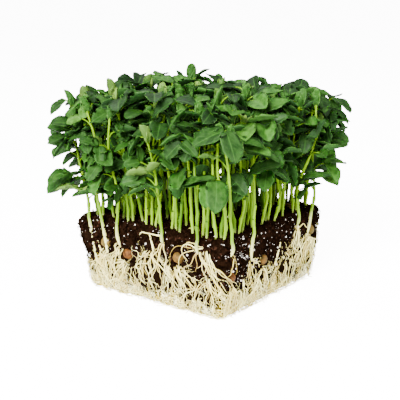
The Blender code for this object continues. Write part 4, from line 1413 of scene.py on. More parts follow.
def lattice_value(at, seed):
    """A fixed random value from 0 to 1 for each whole-number corner: its numbers times large primes, mixed
    bit by bit."""
    x, y, z = (at[..., i] * prime for i, prime in enumerate(LATTICE_PRIMES))
    mixed = x ^ y ^ z ^ seed
    mixed = (mixed ^ (mixed >> 13)) * 60493 & HIGHEST
    mixed = (mixed ^ (mixed >> 11)) * 15731 & HIGHEST
    return mixed / HIGHEST


def cloud(points, size, seed=0, layers=1):
    """Value noise from 0 to 1 with blobs of a size in metres: random values at the corners of a lattice,
    smoothly blended, in layers each half as large and half as strong as the one before."""
    total, weight = 0.0, 0.0
    for layer in range(layers):
        cell = points / (size / 2**layer) + LATTICE_START
        low = np.floor(cell).astype(np.int64)
        share = cell - low
        share = share * share * (3 - 2 * share)
        value = 0.0
        for step in np.ndindex(2, 2, 2):
            nearness = np.prod(np.where(step, share, 1 - share), axis=-1)
            value = value + nearness * lattice_value(low + step, seed * SEED_PRIME + layer * LAYER_PRIME)
        total, weight = total + value * 0.5**layer, weight + 0.5**layer
    return total / weight


def lap_cloud(turn, laps, size, seed, layers=1, height=0.0):
    """Noise along one lap of the block, which is the same at each height."""
    return cloud(np.stack([turn * laps, 0 * turn, 0 * turn + height], -1), size, seed, layers)


def shell(rings, paint, ends):
    """A closed surface through rings (rows, columns, 3), with a point at each end, in the middle of its
    ring where none is given."""
    rows, columns, _ = rings.shape
    middle = [rings[i].mean(axis=0) if end is None else np.asarray(end, float) for i, end in zip((0, -1), ends)]
    points = np.concatenate([rings.reshape(-1, 3), middle])
    paint = np.concatenate([paint.reshape(-1, 4), paint[0].mean(axis=0)[None], paint[-1].mean(axis=0)[None]])
    return part(points, *ring_faces(rows, columns), paint)


def toned(tone):
    """Paint with the tone alone."""
    return np.stack([tone, 0 * tone, 0 * tone, 1 + 0 * tone], -1)


print("noise at three places", np.round(cloud(np.array([[0.001, 0, 0], [0.002, 0, 0], [0.003, 0, 0]]), 0.001), 2))

# %% [markdown]
# Little in the block shines. The mix is nearly black, and the pale stuff on it is what the eye sees:
# cream roots, white perlite and tan seeds.

# %% Finishes of the block
def mix_recipe(graph):
    """Dark potting mix: nearly black peat with redder bits, dull, and rough at the size of crumbs."""
    place = object_place(graph)
    tone = painted(graph)[0]
    crumbs = graph.cells(place, 900.0)
    bits = graph.add("SeparateColor", i0=graph.cells(place, 650.0, outlet=1))
    peat = graph.effect(patches, Place=place, Scale=300.0, Detail=5.0, Low=0.35, High=0.68, Share=1.0,
                        First=(0.0008, 0.0003, 0.0001), Second=(0.0062, 0.0026, 0.0012))
    redder = graph.blend(graph.steps(bits, 0.86, 0.98), peat["Colour"], (0.022, 0.009, 0.005))
    relief = graph.math("ADD", graph.times(crumbs, -0.7), graph.noise(place, 1400.0, 4.0))
    colour = graph.blend(graph.times(tone, 0.5), redder, (0.012, 0.0058, 0.0030))
    return colour, graph.times_plus(peat["Cloud"], 0.3, 0.65), graph.bump(relief, 0.0007, 0.9)


def perlite_recipe(graph):
    """White foamed grains with dusty brown hollows."""
    place = object_place(graph)
    foam = graph.effect(patches, Place=place, Scale=1800.0, Detail=3.0, Low=0.3, High=0.6, Share=1.0,
                        First=(0.38, 0.31, 0.23), Second=(0.86, 0.84, 0.79))
    pits = graph.effect(grain, Place=place, Scale=1800.0, Detail=3.0, Depth=0.0003, Strength=0.8)
    return foam["Colour"], graph.times_plus(foam["Cloud"], 0.2, 0.7), pits["Normal"]


def root_recipe(graph):
    """Cream roots: whiter where thick and young, tan in old patches, with fine hairs as a soft bump."""
    place = object_place(graph)
    tone, age = painted(graph)[:2]
    clean = graph.blend(tone, (0.410, 0.310, 0.055), (0.990, 0.930, 0.380))
    aged = graph.effect(patches, Place=place, Scale=75.0, Detail=3.0, Low=0.45, High=0.65, Share=0.50,
                        First=clean, Second=(0.560, 0.420, 0.050))
    hairs = graph.effect(grain, Place=place, Scale=2600.0, Detail=2.0, Depth=0.00012, Strength=0.6)
    colour = graph.blend(age, aged["Colour"], (0.260, 0.150, 0.050))
    return colour, graph.times_plus(hairs["Grain"], 0.25, 0.45), hairs["Normal"]


def felt_recipe(graph):
    """The mat behind the roots: webs of pale strands at two sizes, with dark mix in the meshes."""
    place = object_place(graph)
    low_down = painted(graph)[0]
    bent = graph.add("Mix", outlet=1, settings={"data_type": "VECTOR"}, i0=0.006, i4=place,
                     i5=graph.noise(place, 330.0, outlet=1))
    webs = [graph.steps(graph.cells(bent, scale, "DISTANCE_TO_EDGE"), width, width * 0.35)
            for scale, width in ((230.0, 0.07), (520.0, 0.10))]
    thick = graph.noise(place, 190.0, 3.0)
    fluff = graph.times(graph.math("SUBTRACT", thick, 0.5), 1.9)
    fluff = graph.times_plus(low_down, 1.15, fluff)
    cover = graph.steps(graph.times_plus(graph.math("MAXIMUM", *webs), 0.35, fluff), 0.50, 0.95)
    pits = graph.steps(graph.noise(place, 760.0, 3.0), 0.42, 0.55)
    cover = graph.times(cover, graph.times_plus(pits, 0.90, 0.10))
    hanging = graph.add("Mapping", i0=place, Scale=(1.0, 1.0, 0.35))
    strands = graph.effect(patches, Place=hanging, Scale=230.0, Detail=4.0, Low=0.48, High=0.60, Share=1.0,
                           First=(0.990, 0.950, 0.540), Second=(0.560, 0.430, 0.055))
    gaps = graph.blend(graph.noise(place, 500.0, 4.0), (0.0008, 0.0004, 0.0002), (0.0075, 0.0036, 0.0016))
    colour = graph.blend(cover, gaps, strands["Colour"])
    return colour, graph.times_plus(thick, 0.2, 0.6), graph.bump(cover, 0.0007, 0.9)


def seed_recipe(graph):
    """The coat of a spent pea: tan, blotched with brown, and finely wrinkled."""
    place = object_place(graph)
    coat = graph.effect(patches, Place=place, Scale=420.0, Detail=4.0, Low=0.35, High=0.65, Share=1.0,
                        First=(0.026, 0.009, 0.0015), Second=(0.100, 0.036, 0.006))
    wrinkles = graph.effect(grain, Place=place, Scale=1300.0, Detail=3.0, Distortion=1.5, Depth=0.0003,
                            Strength=0.8)
    colour = graph.blend(painted(graph)[0], coat["Colour"], (0.200, 0.210, 0.045))
    return colour, graph.times_plus(coat["Cloud"], 0.25, 0.40), wrinkles["Normal"]


potting_mix = finish("potting_mix", mix_recipe, Specular_IOR_Level=0.0)
perlite = finish("perlite", perlite_recipe, Specular_IOR_Level=0.3)
pea_root = finish("pea_root", root_recipe, Specular_IOR_Level=0.20, Subsurface_Weight=0.05,
                  Subsurface_Scale=0.0006, Subsurface_Radius=(1.0, 0.9, 0.6))
root_felt = finish("root_felt", felt_recipe, Specular_IOR_Level=0.0)
seed_coat = finish("seed_coat", seed_recipe, Specular_IOR_Level=0.08)
print("finishes", [made.name for made in bpy.data.materials])

# %% [markdown]
# ## The potting mix
# Peat and bark crumbs hold together by the roots in them. The surface is a fine grid over the same block
# as in the model, pushed in and out by noise, but not beside a seed.

# %% Distance to the seeds
names_of_seeds = sorted(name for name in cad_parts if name.startswith("seed_"))
seed_middles = np.array([np.array(low + high) / 2 for low, high in map(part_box, names_of_seeds)])


def seed_distance(points):
    """Distance of each point to the middle of the nearest seed."""
    return np.linalg.norm(points[..., None, :] - seed_middles, axis=-1).min(axis=-1)


print("seeds", len(names_of_seeds))

# %% The block of mix
MIX_COLUMNS = 512
MIX_ROWS = 44
MIX_TOP_RINGS = 34
MIX_INSET = MAT_WALL + GAP
FREE_PROUD = 0.0012
SHOULDER = 0.006
SHOULDER_DROP = 0.0032
SEED_HOLLOW, SEED_HOLLOW_REACH = 0.0008, 0.0062
LOBE, LOBE_TURN, LOBE_Z = 0.0030, 0.375, 0.040


def lobe_at(turn, z):
    """A lobe of mix that stands out at one corner: LOBE exp(-(turn/0.03)^2 - (z/0.012)^2) about its middle."""
    return LOBE * np.exp(-(((turn - LOBE_TURN) / 0.030) ** 2) - ((z - LOBE_Z) / 0.012) ** 2)


def shoulder_at(z):
    """0 below the block's top edge, rising to 1 at the edge."""
    return np.clip((z - BLOCK_HEIGHT + SHOULDER) / SHOULDER, 0, 1)


def mix_relief(points, lump_size, lump_rest, seed):
    """Lumps, crumbs and grit, each noise of a smaller size."""
    return (0.0042 * (cloud(points, lump_size, seed, 2) - lump_rest)
            + 0.0026 * (cloud(points, 0.0028, seed + 1, 2) - 0.5) + 0.0010 * (cloud(points, 0.0010, seed + 2) - 0.5))


def mix_block():
    """The block: rings up its sides and in over its top, each point moved along its normal by the relief,
    less where it lies behind the mat, and not beside a seed."""
    turn = np.arange(MIX_COLUMNS) / MIX_COLUMNS
    rise = np.linspace(0, 1, MIX_ROWS)[:, None]
    z = MAT_FLOOR + GAP + (BLOCK_HEIGHT - MAT_FLOOR - GAP) * rise + 0 * turn
    place, normal = rounded_square(block_half(z) - MIX_INSET, BLOCK_CORNER - MIX_INSET, turn + 0 * z)
    sides = np.concatenate([place, z[..., None]], -1)
    free = np.clip((z - edge_height(turn) + 0.001) / 0.004, 0, 1)
    shoulder = shoulder_at(z)
    push = (mix_relief(sides, 0.0080, 0.52, 1) * (0.25 + 0.75 * free) + FREE_PROUD * free * (1 - shoulder)
            - SHOULDER_DROP * shoulder**2 + free * lobe_at(turn, z))
    by_seed = np.exp(-((seed_distance(sides) / SEED_HOLLOW_REACH) ** 4))
    push = push * (1 - by_seed) - SEED_HOLLOW * by_seed
    sides[..., :2] += normal * push[..., None]
    scale = np.linspace(0.985, 0.03, MIX_TOP_RINGS)[:, None, None]
    top = np.concatenate([sides[-1, :, :2] * scale, np.full((MIX_TOP_RINGS, MIX_COLUMNS, 1), BLOCK_HEIGHT)], -1)
    relief = mix_relief(top, 0.0085, 0.55, 5)
    fade = np.clip((1 - scale[..., 0]) / 0.06, 0, 1)
    top[..., 2] += relief * fade + 0.0006
    sides[-1, :, 2] += 0.4 * relief[0]
    rings = np.concatenate([sides, top])
    return shell(rings, toned(0.45 * cloud(rings, 0.004, 9, 2)), (None, (0, 0, BLOCK_HEIGHT)))


make_piece("potting_mix_block", [mix_block()], [potting_mix], ["soil"])
print("mix", MIX_COLUMNS, "by", MIX_ROWS + MIX_TOP_RINGS, "points")

# %% [markdown]
# Loose bits are small solids with twenty faces. Crumbs gather round the foot of each stem, which pushed
# them up, and perlite lies thickest in one place on a face.

# %% Small angular solids
GOLD = (1 + math.sqrt(5)) / 2
LUMP_CORNERS = unit(np.array([
    (-1, GOLD, 0), (1, GOLD, 0), (-1, -GOLD, 0), (1, -GOLD, 0), (0, -1, GOLD), (0, 1, GOLD),
    (0, -1, -GOLD), (0, 1, -GOLD), (GOLD, 0, -1), (GOLD, 0, 1), (-GOLD, 0, -1), (-GOLD, 0, 1),
]))
LUMP_FACES = np.array([
    (0, 11, 5), (0, 5, 1), (0, 1, 7), (0, 7, 10), (0, 10, 11), (1, 5, 9), (5, 11, 4), (11, 10, 2), (10, 7, 6),
    (7, 1, 8), (3, 9, 4), (3, 4, 2), (3, 2, 6), (3, 6, 8), (3, 8, 9), (4, 9, 5), (2, 4, 11), (6, 2, 10), (8, 6, 7),
    (9, 8, 1),
])


def random_turns(draw, count):
    """Random rotation matrices, from random unit quaternions."""
    w, x, y, z = unit(draw.normal(size=(count, 4))).T
    return np.stack([
        np.stack([1 - 2 * (y * y + z * z), 2 * (x * y - z * w), 2 * (x * z + y * w)], -1),
        np.stack([2 * (x * y + z * w), 1 - 2 * (x * x + z * z), 2 * (y * z - x * w)], -1),
        np.stack([2 * (x * z - y * w), 2 * (y * z + x * w), 1 - 2 * (x * x + y * y)], -1),
    ], -2)


def lumps_at(draw, places, sizes, stretch, rough, tone):
    """Angular solids of 12 corners: a ball, roughened, stretched on three axes and turned at random."""
    count, corner_count = len(places), len(LUMP_CORNERS)
    corners = LUMP_CORNERS * draw.uniform(1 - rough, 1 + rough, (count, corner_count, 1))
    corners = corners * (np.asarray(stretch) * draw.uniform(0.75, 1.25, (count, 3)))[:, None]
    corners = np.einsum("nij,nkj->nki", random_turns(draw, count), corners)
    points = (places[:, None] + corners * sizes[:, None, None]).reshape(-1, 3)
    paint = np.zeros((count * corner_count, 4))
    paint[:, 0] = np.repeat(tone, corner_count)
    return part(points, np.zeros((0, 4), int), repeated(LUMP_FACES, count, corner_count), paint)


print("a lump has", len(LUMP_FACES), "faces")

# %% Places on the mix
TOP_REACH = 0.060
SEED_CLEARANCE = 1.35


def mix_places(draw, count, proud):
    """Random places on the free face of the mix and its top edge, by drawing and keeping those above the
    mat's edge and clear of the seeds."""
    turn, z = draw.random(4 * count), draw.uniform(0.012, BLOCK_HEIGHT + 0.001, 4 * count)
    clear = seed_distance(on_face(turn, z, 0 * z - MAT_WALL)) > SEED_CLEARANCE * SEED_RADIUS
    keep = np.flatnonzero((z > edge_height(turn) - 0.001) & clear)[:count]
    turn, z = turn[keep], z[keep]
    shoulder = shoulder_at(z)
    depth = -MAT_WALL - GAP + FREE_PROUD * (1 - shoulder) - 0.0030 * shoulder**2 + lobe_at(turn, z)
    depth = depth + draw.uniform(-0.0008, proud, len(z))
    return on_face(turn, z, depth)


def top_places(draw, count, proud):
    """Random places on the top of the mix."""
    xy = draw.uniform(-TOP_REACH, TOP_REACH, (count, 2))
    return np.concatenate([xy, (BLOCK_HEIGHT + draw.uniform(-0.001, proud, count))[:, None]], -1)


def foot_places(draw, per_foot):
    """Random places round the foot of each stem that comes out of the top of the mix."""
    feet = np.array([stem_point(stem, 0.0)[:2] for stem in stems + extra_stems if stem["foot"] is None])
    turn = 2 * math.pi * draw.random((len(feet), per_foot))
    away = draw.uniform(0.0010, 0.0028, turn.shape)
    xy = feet[:, None] + np.stack([away * np.cos(turn), away * np.sin(turn)], -1)
    z = BLOCK_HEIGHT + draw.uniform(-0.0006, 0.0012, turn.shape)
    return np.concatenate([xy, z[..., None]], -1).reshape(-1, 3)


print("a place on the top", np.round(top_places(np.random.default_rng(0), 1, 0.001), 4))

# %% Scatter crumbs, bark and perlite
SIDE_CRUMBS, TOP_CRUMBS, CRUMBS_PER_FOOT = 3600, 1800, 9
SIDE_CHIPS, TOP_CHIPS = 260, 220
SIDE_GRAINS, TOP_GRAINS, CLUSTER_GRAINS = 900, 180, 150
CLUSTER_MIDDLE, CLUSTER_REACH = (-0.040, -0.057, 0.038), 0.019

draw = drawer(41)
side_crumbs, top_crumbs = mix_places(draw, SIDE_CRUMBS, 0.0011), top_places(draw, TOP_CRUMBS, 0.0010)
places = np.concatenate([side_crumbs, top_crumbs, foot_places(draw, CRUMBS_PER_FOOT)])
sizes = 0.0004 + 0.0010 * draw.random(len(places)) ** 2.5
crumbs = lumps_at(draw, places, sizes, (1.0, 1.0, 0.8), 0.28, draw.random(len(places)))
make_piece("mix_crumbs", [crumbs], [potting_mix])
print("crumbs", len(places))

places = np.concatenate([mix_places(draw, SIDE_CHIPS, 0.0016), top_places(draw, TOP_CHIPS, 0.0014)])
sizes = draw.uniform(0.0007, 0.0020, len(places))
chips = lumps_at(draw, places, sizes, (1.0, 0.45, 0.16), 0.2, 0.3 + 0.9 * draw.random(len(places)))
make_piece("bark_chips", [chips], [potting_mix])
print("chips", len(places))

spread = np.concatenate([mix_places(draw, SIDE_GRAINS, 0.0014), top_places(draw, TOP_GRAINS, 0.0012)])
more = mix_places(draw, 4 * SIDE_GRAINS, 0.0014)
near = np.linalg.norm(more - np.array(CLUSTER_MIDDLE), axis=-1) < CLUSTER_REACH
places = np.concatenate([spread, more[near][:CLUSTER_GRAINS]])
sizes = 0.00014 + 0.00068 * draw.random(len(places)) ** 4
grains = lumps_at(draw, places, sizes, (1.0, 0.9, 0.8), 0.22, np.zeros(len(places)))
make_piece("perlite_grains", [grains], [perlite])
print("perlite", len(places))

# %% [markdown]
# ## The root mat
# Roots that reach the tray's wall run along it and felt together. A felt that thin and full of holes is
# best built in layers: a shell with webs in its finish for the depth of the mat, then many hundreds of
# real thin roots laid over it, and last the thick young roots that climb the dark mix.

# %% The felt
FELT_COLUMNS = 512
FELT_ROWS = 30
MAT_FOOT_INSET = 0.0022
CREASE_DEPTH = 0.0020
EDGE_ROUND = 0.0012


def felt_ring(turn, z, depth):
    """A ring, or rings, at heights z, `depth` outside the block's face."""
    place, normal = rounded_square(block_half(z), BLOCK_CORNER, turn + 0 * z)
    return np.concatenate([place + normal * (depth + 0 * z)[..., None], z[..., None]], -1)


def felt_shell():
    """The mat's shell: up the inner wall, over the ragged edge, down the outer wall, which is moved along its
    normal by noise of two sizes and by creases, and is worn at its foot."""
    turn = np.arange(FELT_COLUMNS) / FELT_COLUMNS
    top = edge_height(turn) + 0.0022 * (lap_cloud(turn, 0.5, 0.0016, 21, 2) - 0.6)
    share = np.linspace(1.0, 0.0, FELT_ROWS)[:, None]
    outer = felt_ring(turn, top * share, 0.0 * share)
    relief = 0.0016 * (cloud(outer, 0.0050, 22, 2) - 0.5) + 0.0009 * (cloud(outer, 0.0014, 23) - 0.5)
    swell = lap_cloud(turn, 0.6, 0.0110, 24, height=0.3)
    crease = np.clip(1 - np.abs(2 * swell - 1) / 0.22, 0, 1) * np.clip(1.3 - 2.2 * share, 0, 1)
    relief = relief - CREASE_DEPTH * crease
    worn = lap_cloud(turn, 0.6, 0.0036, 26, 2, 0.6)
    outer[..., 2] += (0.0030 * crease + 0.0034 * worn**2) * np.clip(1 - share * 5, 0, 1)
    round_off = -EDGE_ROUND * share**14 - MAT_FOOT_INSET * np.clip(1 - share * 9, 0, 1) ** 2
    outer = felt_ring(turn, outer[..., 2], relief * (1 - share**6) + round_off)
    inner_heights = np.stack([top * 0 + MAT_FLOOR, top - 0.0014, top - 0.0002])
    inner = felt_ring(turn, inner_heights, -MAT_WALL * np.array([1.0, 1.0, 0.8])[:, None])
    rings = np.concatenate([inner, outer])[::-1]
    rings[0, :, 2] = 0.0
    rings = np.concatenate([rings[:1] * (0.5, 0.5, 1.0), rings])
    uneven = 0.012 * (lap_cloud(turn, 0.6, 0.018, 25, 2) - 0.5)
    low_down = np.clip(1.08 - (rings[..., 2] + uneven) / 0.014, 0, 1)
    return shell(rings, toned(low_down), ((0, 0, 0), (0, 0, MAT_FLOOR)))


make_piece("root_felt", [felt_shell()], [root_felt], ["root_mat"])
print("felt", FELT_COLUMNS, "by", FELT_ROWS + 4, "points")

# %% [markdown]
# A root is a walk over the block's face in equal steps, with a heading that bends. Its two ends dip into
# the mat, so that none seems cut off.

# %% Walks over the face
ROOT_STEPS = 14
ROOT_DIP, ROOT_DIP_REACH = 0.0014, 0.15
ROOT_TAPER = ((0, 0.08, 0.5, 0.9, 1), (0.7, 1.0, 0.75, 0.45, 0.15))
SLOW_BENDS, QUICK_BENDS = (0.38, (0.7, 1.8)), (0.30, (2, 5))
ROOT_TO_SEED = 1.2
ROOT_ACROSS = (0.1, 0.2, 1.0)


def root_depth(turn, z, lift):
    """How far outside the block's face a root lies: `lift` over the mat, and sunk to the mix above it."""
    free = np.clip((z - edge_height(turn) + 0.0015) / 0.004, 0, 1)
    free = free * free * (3 - 2 * free)
    return lift * (1 - free) + free * (0.55 * lift - MAT_WALL + 0.0016)


def bends(draw, count, t, strength, waves):
    """A sine along each root, of a random size, wave number and phase."""
    size = draw.normal(0, strength, (count, 1))
    return size * np.sin(math.pi * (draw.uniform(*waves, (count, 1)) * t + 2 * draw.random((count, 1))))


def wandering_roots(draw, turn, z, length, slant, radius, lift, bend, settle=0.0, sides=4, flare=0.0, bundle=1):
    """Roots as walks over the face, one equal step after another, from the given places. The heading, 0
    straight down, is a (1 - settle t) + bend (a slow sine + a quick one); the roots of a bundle share a walk,
    a little apart. They taper to both ends, dip in there, and stand out by the flare at their tips. Those
    that cross a seed are left out."""
    t = np.linspace(0, 1, ROOT_STEPS)[None, :]
    count = len(turn)
    run = draw.uniform(*length, (count, 1))
    slow, quick = bends(draw, count, t, *SLOW_BENDS), bends(draw, count, t, *QUICK_BENDS)
    heading = draw.normal(*slant, (count, 1)) * (1 - settle * t) + bend * (slow + quick)
    start = np.stack([turn, z], -1)
    start, run, heading = (np.repeat(values, bundle, axis=0) for values in (start, run, heading))
    count = len(start)
    if bundle > 1:
        start = start + draw.normal(0, 1, (count, 2)) * (0.0010, 0.0006)
        heading = heading + draw.normal(0, 0.20, (count, 1)) + draw.normal(0, 0.30, (count, 1)) * t
        run = run * draw.uniform(0.7, 1.1, (count, 1))
    step = run / (ROOT_STEPS - 1)
    across, down = (np.cumsum(way(heading) * step, axis=1) for way in (np.sin, np.cos))
    z = np.clip(start[:, 1:] - down, 0.0006, BLOCK_HEIGHT - 0.002)
    turn = start[:, :1] + across / lap_length(z)
    rise = lift[0] + (lift[1] - lift[0]) * draw.random((count, 1))
    rise = rise + 0.0004 * np.sin(draw.uniform(2, 6, (count, 1)) * math.pi * t)
    dip = ROOT_DIP * (1 - np.minimum(np.minimum(t, 1 - t) / ROOT_DIP_REACH, 1.0))
    paths = on_face(turn, z, root_depth(turn, z, rise) - dip + flare * t**2 * draw.random((count, 1)))
    size = draw.uniform(*radius, (count, 1)) * np.interp(t, *ROOT_TAPER)
    tone = np.broadcast_to(draw.random((count, 1)) ** 0.8, (count, ROOT_STEPS))
    age = np.broadcast_to(np.clip(draw.normal(-0.20, 0.36, (count, 1)), 0, 0.85), (count, ROOT_STEPS))
    paint = np.stack([tone, age, 0 * tone, 0 * tone + 1], -1)
    clear = seed_distance(paths).min(axis=-1) > ROOT_TO_SEED * SEED_RADIUS
    return tubes(paths[clear], size[clear], sides, ROOT_ACROSS, paint[clear])


print("steps of a root", ROOT_STEPS)

# %% Thin roots over the felt
HANGING, TANGLED, RUNNING, CLIMBING, FRINGE, LACING, CORNER = 150, 150, 160, 320, 350, 190, 16
PER_FAN = 4
LONE_STEM = ("-Y", -0.0560)
CORNER_FACE = ("-X", -0.0500, 0.030)


def fan_starts(draw):
    """Starts of the roots that fan out from the foot of each bare stem and from each seed in a face. One stem
    has a single pair of roots."""
    starts = [(face_turn(*stem), stem[2] + 0.002) for stem in BARE_STEMS]
    starts += [(face_turn(*seed), seed[2] - SEED_CLEARANCE * SEED_RADIUS) for seed in SIDE_SEEDS]
    shares = [1 if stem[:2] == LONE_STEM else PER_FAN for stem in (*BARE_STEMS, *SIDE_SEEDS)]
    turn, z = np.repeat(starts, shares, axis=0).T
    return turn + draw.normal(0, 0.0018, len(turn)), z + draw.normal(0, 0.0010, len(z))


def lay_roots(name, turn, z, *ways, **more):
    """Makes one piece of roots that start at the given places."""
    roots = wandering_roots(draw, turn, z, *ways, **more)
    make_piece(name, [roots], [pea_root])
    print(name, len(turn), "walks")


draw = drawer(51)
turn = draw.random(HANGING)
lay_roots("hanging_roots", turn, edge_height(turn) * draw.uniform(0.75, 1.10, HANGING), (0.012, 0.030),
          (0.0, 0.40), (0.00015, 0.00038), (0.0, 0.0016), 1.0, settle=0.5, bundle=2)
turn = draw.random(TANGLED)
lay_roots("tangled_roots", turn, edge_height(turn) * draw.random(TANGLED) ** 0.8, (0.005, 0.014),
          (0.0, 0.9), (0.00012, 0.00028), (-0.0002, 0.0014), 1.8)
lay_roots("running_roots", draw.random(RUNNING), draw.uniform(0.001, 0.010, RUNNING), (0.012, 0.030),
          (1.4, 0.6), (0.00014, 0.00034), (-0.0016, 0.0016), 1.6)
lay_roots("lacing_roots", draw.random(LACING), draw.uniform(0.006, 0.016, LACING), (0.008, 0.018),
          (0.0, 0.6), (0.00013, 0.00030), (-0.0004, 0.0012), 1.6)
turn = draw.random(CLIMBING)
lay_roots("climbing_roots", turn, edge_height(turn) - 0.004, (0.005, 0.014), (3.14, 0.55),
          (0.00010, 0.00022), (0.0, 0.0008), 2.0)
lay_roots("root_fans", *fan_starts(draw), (0.016, 0.036), (0.0, 0.78), (0.00021, 0.00050), (0.0004, 0.0018),
          1.05, settle=0.70, sides=5, bundle=2)
lay_roots("root_fringe", draw.random(FRINGE), draw.uniform(0.0015, 0.012, FRINGE), (0.005, 0.016),
          (0.0, 0.8), (0.00014, 0.00032), (-0.0012, 0.0008), 1.8, flare=0.0055)
turn = face_turn(*CORNER_FACE) + draw.uniform(-0.008, 0.012, CORNER)
lay_roots("corner_roots", turn, draw.uniform(0.026, 0.044, CORNER), (0.024, 0.046), (1.0, 0.2),
          (0.00020, 0.00038), (0.0010, 0.0022), 0.9, settle=0.7)

# %% [markdown]
# The thickest roots are young and white, and climb the dark mix. The model has them too, and the same
# draws make them here, a little finer.

# %% Thick young roots
STRANDS = 20
STRAND_RADIUS = 0.0008
STRAND_DEPTH = 0.0015
STRAND_TO_SEED = 0.0022
STRAND_TAPER = ((0, 0.6, 1), (1.05, 0.9, 0.55))
MAT_SEGMENTS = 64
SEED_SINK = 0.0014


def thick_roots():
    """The model's thick roots, finer: from inside the mat up the face of the mix, tapering."""
    paths = []
    seeds = np.array([on_face(face_turn(*seed), seed[2], -MAT_WALL - GAP - SEED_SINK) for seed in SIDE_SEEDS])
    share = np.linspace(0, 1, ROOT_STEPS)
    for index in range(STRANDS):
        draw = drawer(7, index)
        start = (index + 0.5 * draw.random()) / STRANDS
        drift = draw.uniform(-0.016, 0.016)
        bow = draw.uniform(-0.006, 0.006)
        low = float(edge_height(start + np.array([-1, 0, 1]) / MAT_SEGMENTS).min()) - 0.007
        high = min(float(edge_height(start + drift)) + draw.uniform(0.006, 0.020), BLOCK_HEIGHT - 0.003)
        turn = start + drift * share + bow * np.sin(share * math.pi)
        place = on_face(turn, low + (high - low) * share, np.full(ROOT_STEPS, -STRAND_DEPTH))
        if np.linalg.norm(place[:, None] - seeds[None], axis=-1).min() >= SEED_RADIUS + STRAND_TO_SEED:
            paths.append(place)
    return np.array(paths)


strands = thick_roots()
strand_radii = STRAND_RADIUS * np.interp(np.linspace(0, 1, ROOT_STEPS), *STRAND_TAPER)
strand_parts = [tubes(strands, strand_radii, 8, (0.0, 0.1, 1.0), (1.0, 0.0, 0.0, 1.0))]
make_piece("thick_roots", strand_parts, [pea_root])
print("thick roots", len(strands))

# %% [markdown]
# ## The seeds
# The peas that the shoots grew from still sit in the mix: shrunken balls in a thin tan coat. Each
# replaces a plain ball of the model: a sphere, a little flat, dented by noise and with a shallow seam.

# %% The spent peas
SEED_COLUMNS, SEED_ROWS = 26, 16
SEED_SWELL = 1.22
DENTS, DENT_SIZE = 0.10, 0.75
SEAM, SEAM_WIDTH = 0.02, 0.12
POLE = 0.97
GREEN_SEED, GREEN_TONE = 7, 0.75

around = 2 * math.pi * np.arange(SEED_COLUMNS) / SEED_COLUMNS
down = np.linspace(math.pi, 0, SEED_ROWS + 2)[1:-1, None]
ball = np.stack([np.sin(down) * np.cos(around), np.sin(down) * np.sin(around), np.cos(down) + 0 * around], -1)
poles = np.array([[0.0, 0.0, -POLE], [0.0, 0.0, POLE]])
seam = SEAM * np.exp(-((ball[..., 0] / SEAM_WIDTH) ** 2))
for number, node in enumerate(names_of_seeds):
    low, high = (np.array(corner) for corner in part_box(node))
    middle, reach = (low + high) / 2, SEED_SWELL * (high - low) / 2
    dents = DENTS * (cloud(ball + 3.1 * number, DENT_SIZE, 31, 3) - 0.5) - seam
    rings = middle + ball * (1 + dents[..., None]) * reach
    tone = GREEN_TONE if number == GREEN_SEED else 0.1 * (number % 3)
    pea = shell(rings, toned(np.full(rings.shape[:2], tone)), middle + poles * reach)
    make_piece(f"spent_pea_{number + 1}", [pea], [seed_coat], [node])
print("seeds", len(names_of_seeds))

# %% [markdown]
# ## Floor, light and camera
# The block stands on a plain pale floor that runs out of sight, in soft light from a big lamp above and
# the whole bright room round it.

# %% The floor
FLOOR_REACH = 6.0


def floor_recipe(graph):
    """Pale board with the faintest grain, that shines brightly to the eye and hardly on the block."""
    fine = graph.noise(object_place(graph), 60.0, 4.0)
    colour = graph.blend(fine, (0.84, 0.84, 0.84), (0.88, 0.88, 0.88))
    glow = graph.blend(graph.add("LightPath"), (0.040, 0.040, 0.040), (1.0, 1.0, 1.0))
    return colour, graph.times_plus(fine, 0.1, 0.7), glow


corners = [(x * FLOOR_REACH, y * FLOOR_REACH, 0) for x, y in ((-1, -1), (1, -1), (1, 1), (-1, 1))]
floor_mesh = bpy.data.meshes.new("floor")
floor_mesh.from_pydata(corners, [], [(0, 1, 2, 3)])
floor_mesh.materials.append(finish("pale_board", floor_recipe, "Emission Color", Emission_Strength=12.0))
floor = bpy.data.objects.new("floor", floor_mesh)
bpy.context.scene.collection.objects.link(floor)
print("floor", 2 * FLOOR_REACH, "m across")

# %% [markdown]
# The room is a white world, far brighter to the eye than to the block, so it is as pale as the floor. One
# large lamp stands to the left of the camera, and two weaker ones fill in.

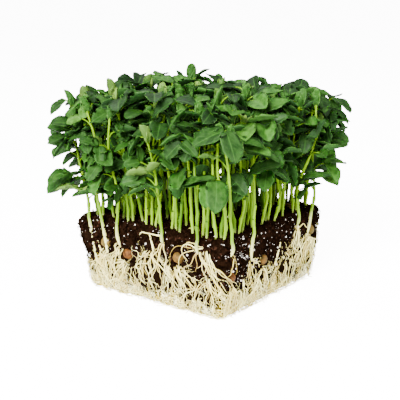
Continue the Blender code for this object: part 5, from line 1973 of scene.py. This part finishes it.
# %% Light
ROOM_SEEN, ROOM_LIGHT = 14.0, 0.5
LAMP_AIM = Vector((0.0, 0.0, 0.08))
LAMPS = {
    "key_lamp": ((-1.15, -0.30, 0.85), 0.6, 146.0),
    "fill_lamp": ((0.5, -1.2, 0.6), 0.8, 26.0),
    "back_lamp": ((0.5, 0.9, 1.5), 0.8, 22.0),
}

world = bpy.data.worlds.new("room")
world.use_nodes = True
background = world.node_tree.nodes["Background"]
background.inputs["Color"].default_value = (1.0, 1.0, 1.0, 1.0)
room = Graph(world.node_tree)
room_light = room.times_plus(room.add("LightPath"), ROOM_SEEN, ROOM_LIGHT)
world.node_tree.links.new(room_light, background.inputs["Strength"])
bpy.context.scene.world = world


def lamp(name, place, size, power):
    """A square lamp that shines at the middle of the block."""
    light = bpy.data.lights.new(name, "AREA")
    light.size = size
    light.energy = power
    made = bpy.data.objects.new(name, light)
    made.location = place
    made.rotation_euler = (LAMP_AIM - made.location).to_track_quat("-Z", "Y").to_euler()
    bpy.context.scene.collection.objects.link(made)


for name, (place, size, power) in LAMPS.items():
    lamp(name, place, size, power)
print("lamps", len(LAMPS))

# %% [markdown]
# The camera looks at one corner of the block from a little above. A long lens from further away keeps the
# block's upright edges nearly parallel.

# %% Camera
AZIMUTH, ELEVATION = math.radians(-53.3), math.radians(12.7)
DISTANCE = 0.666
TARGET = Vector((0.0, 0.0, 0.080))
LENS, FILM_WIDTH = 82.8, 36.0
SHIFT = (-0.007, -0.0655)

back = Vector((math.sin(AZIMUTH) * math.cos(ELEVATION), -math.cos(AZIMUTH) * math.cos(ELEVATION),
               math.sin(ELEVATION)))
camera_data = bpy.data.cameras.new("camera")
camera_data.sensor_width = FILM_WIDTH
camera_data.lens = LENS
camera_data.shift_x, camera_data.shift_y = SHIFT
camera = bpy.data.objects.new("camera", camera_data)
camera.location = TARGET + DISTANCE * back
camera.rotation_euler = back.to_track_quat("Z", "Y").to_euler()
bpy.context.scene.collection.objects.link(camera)
bpy.context.scene.camera = camera
print("camera at", [round(v, 3) for v in camera.location])

# %% Update the scene
bpy.context.view_layer.update()
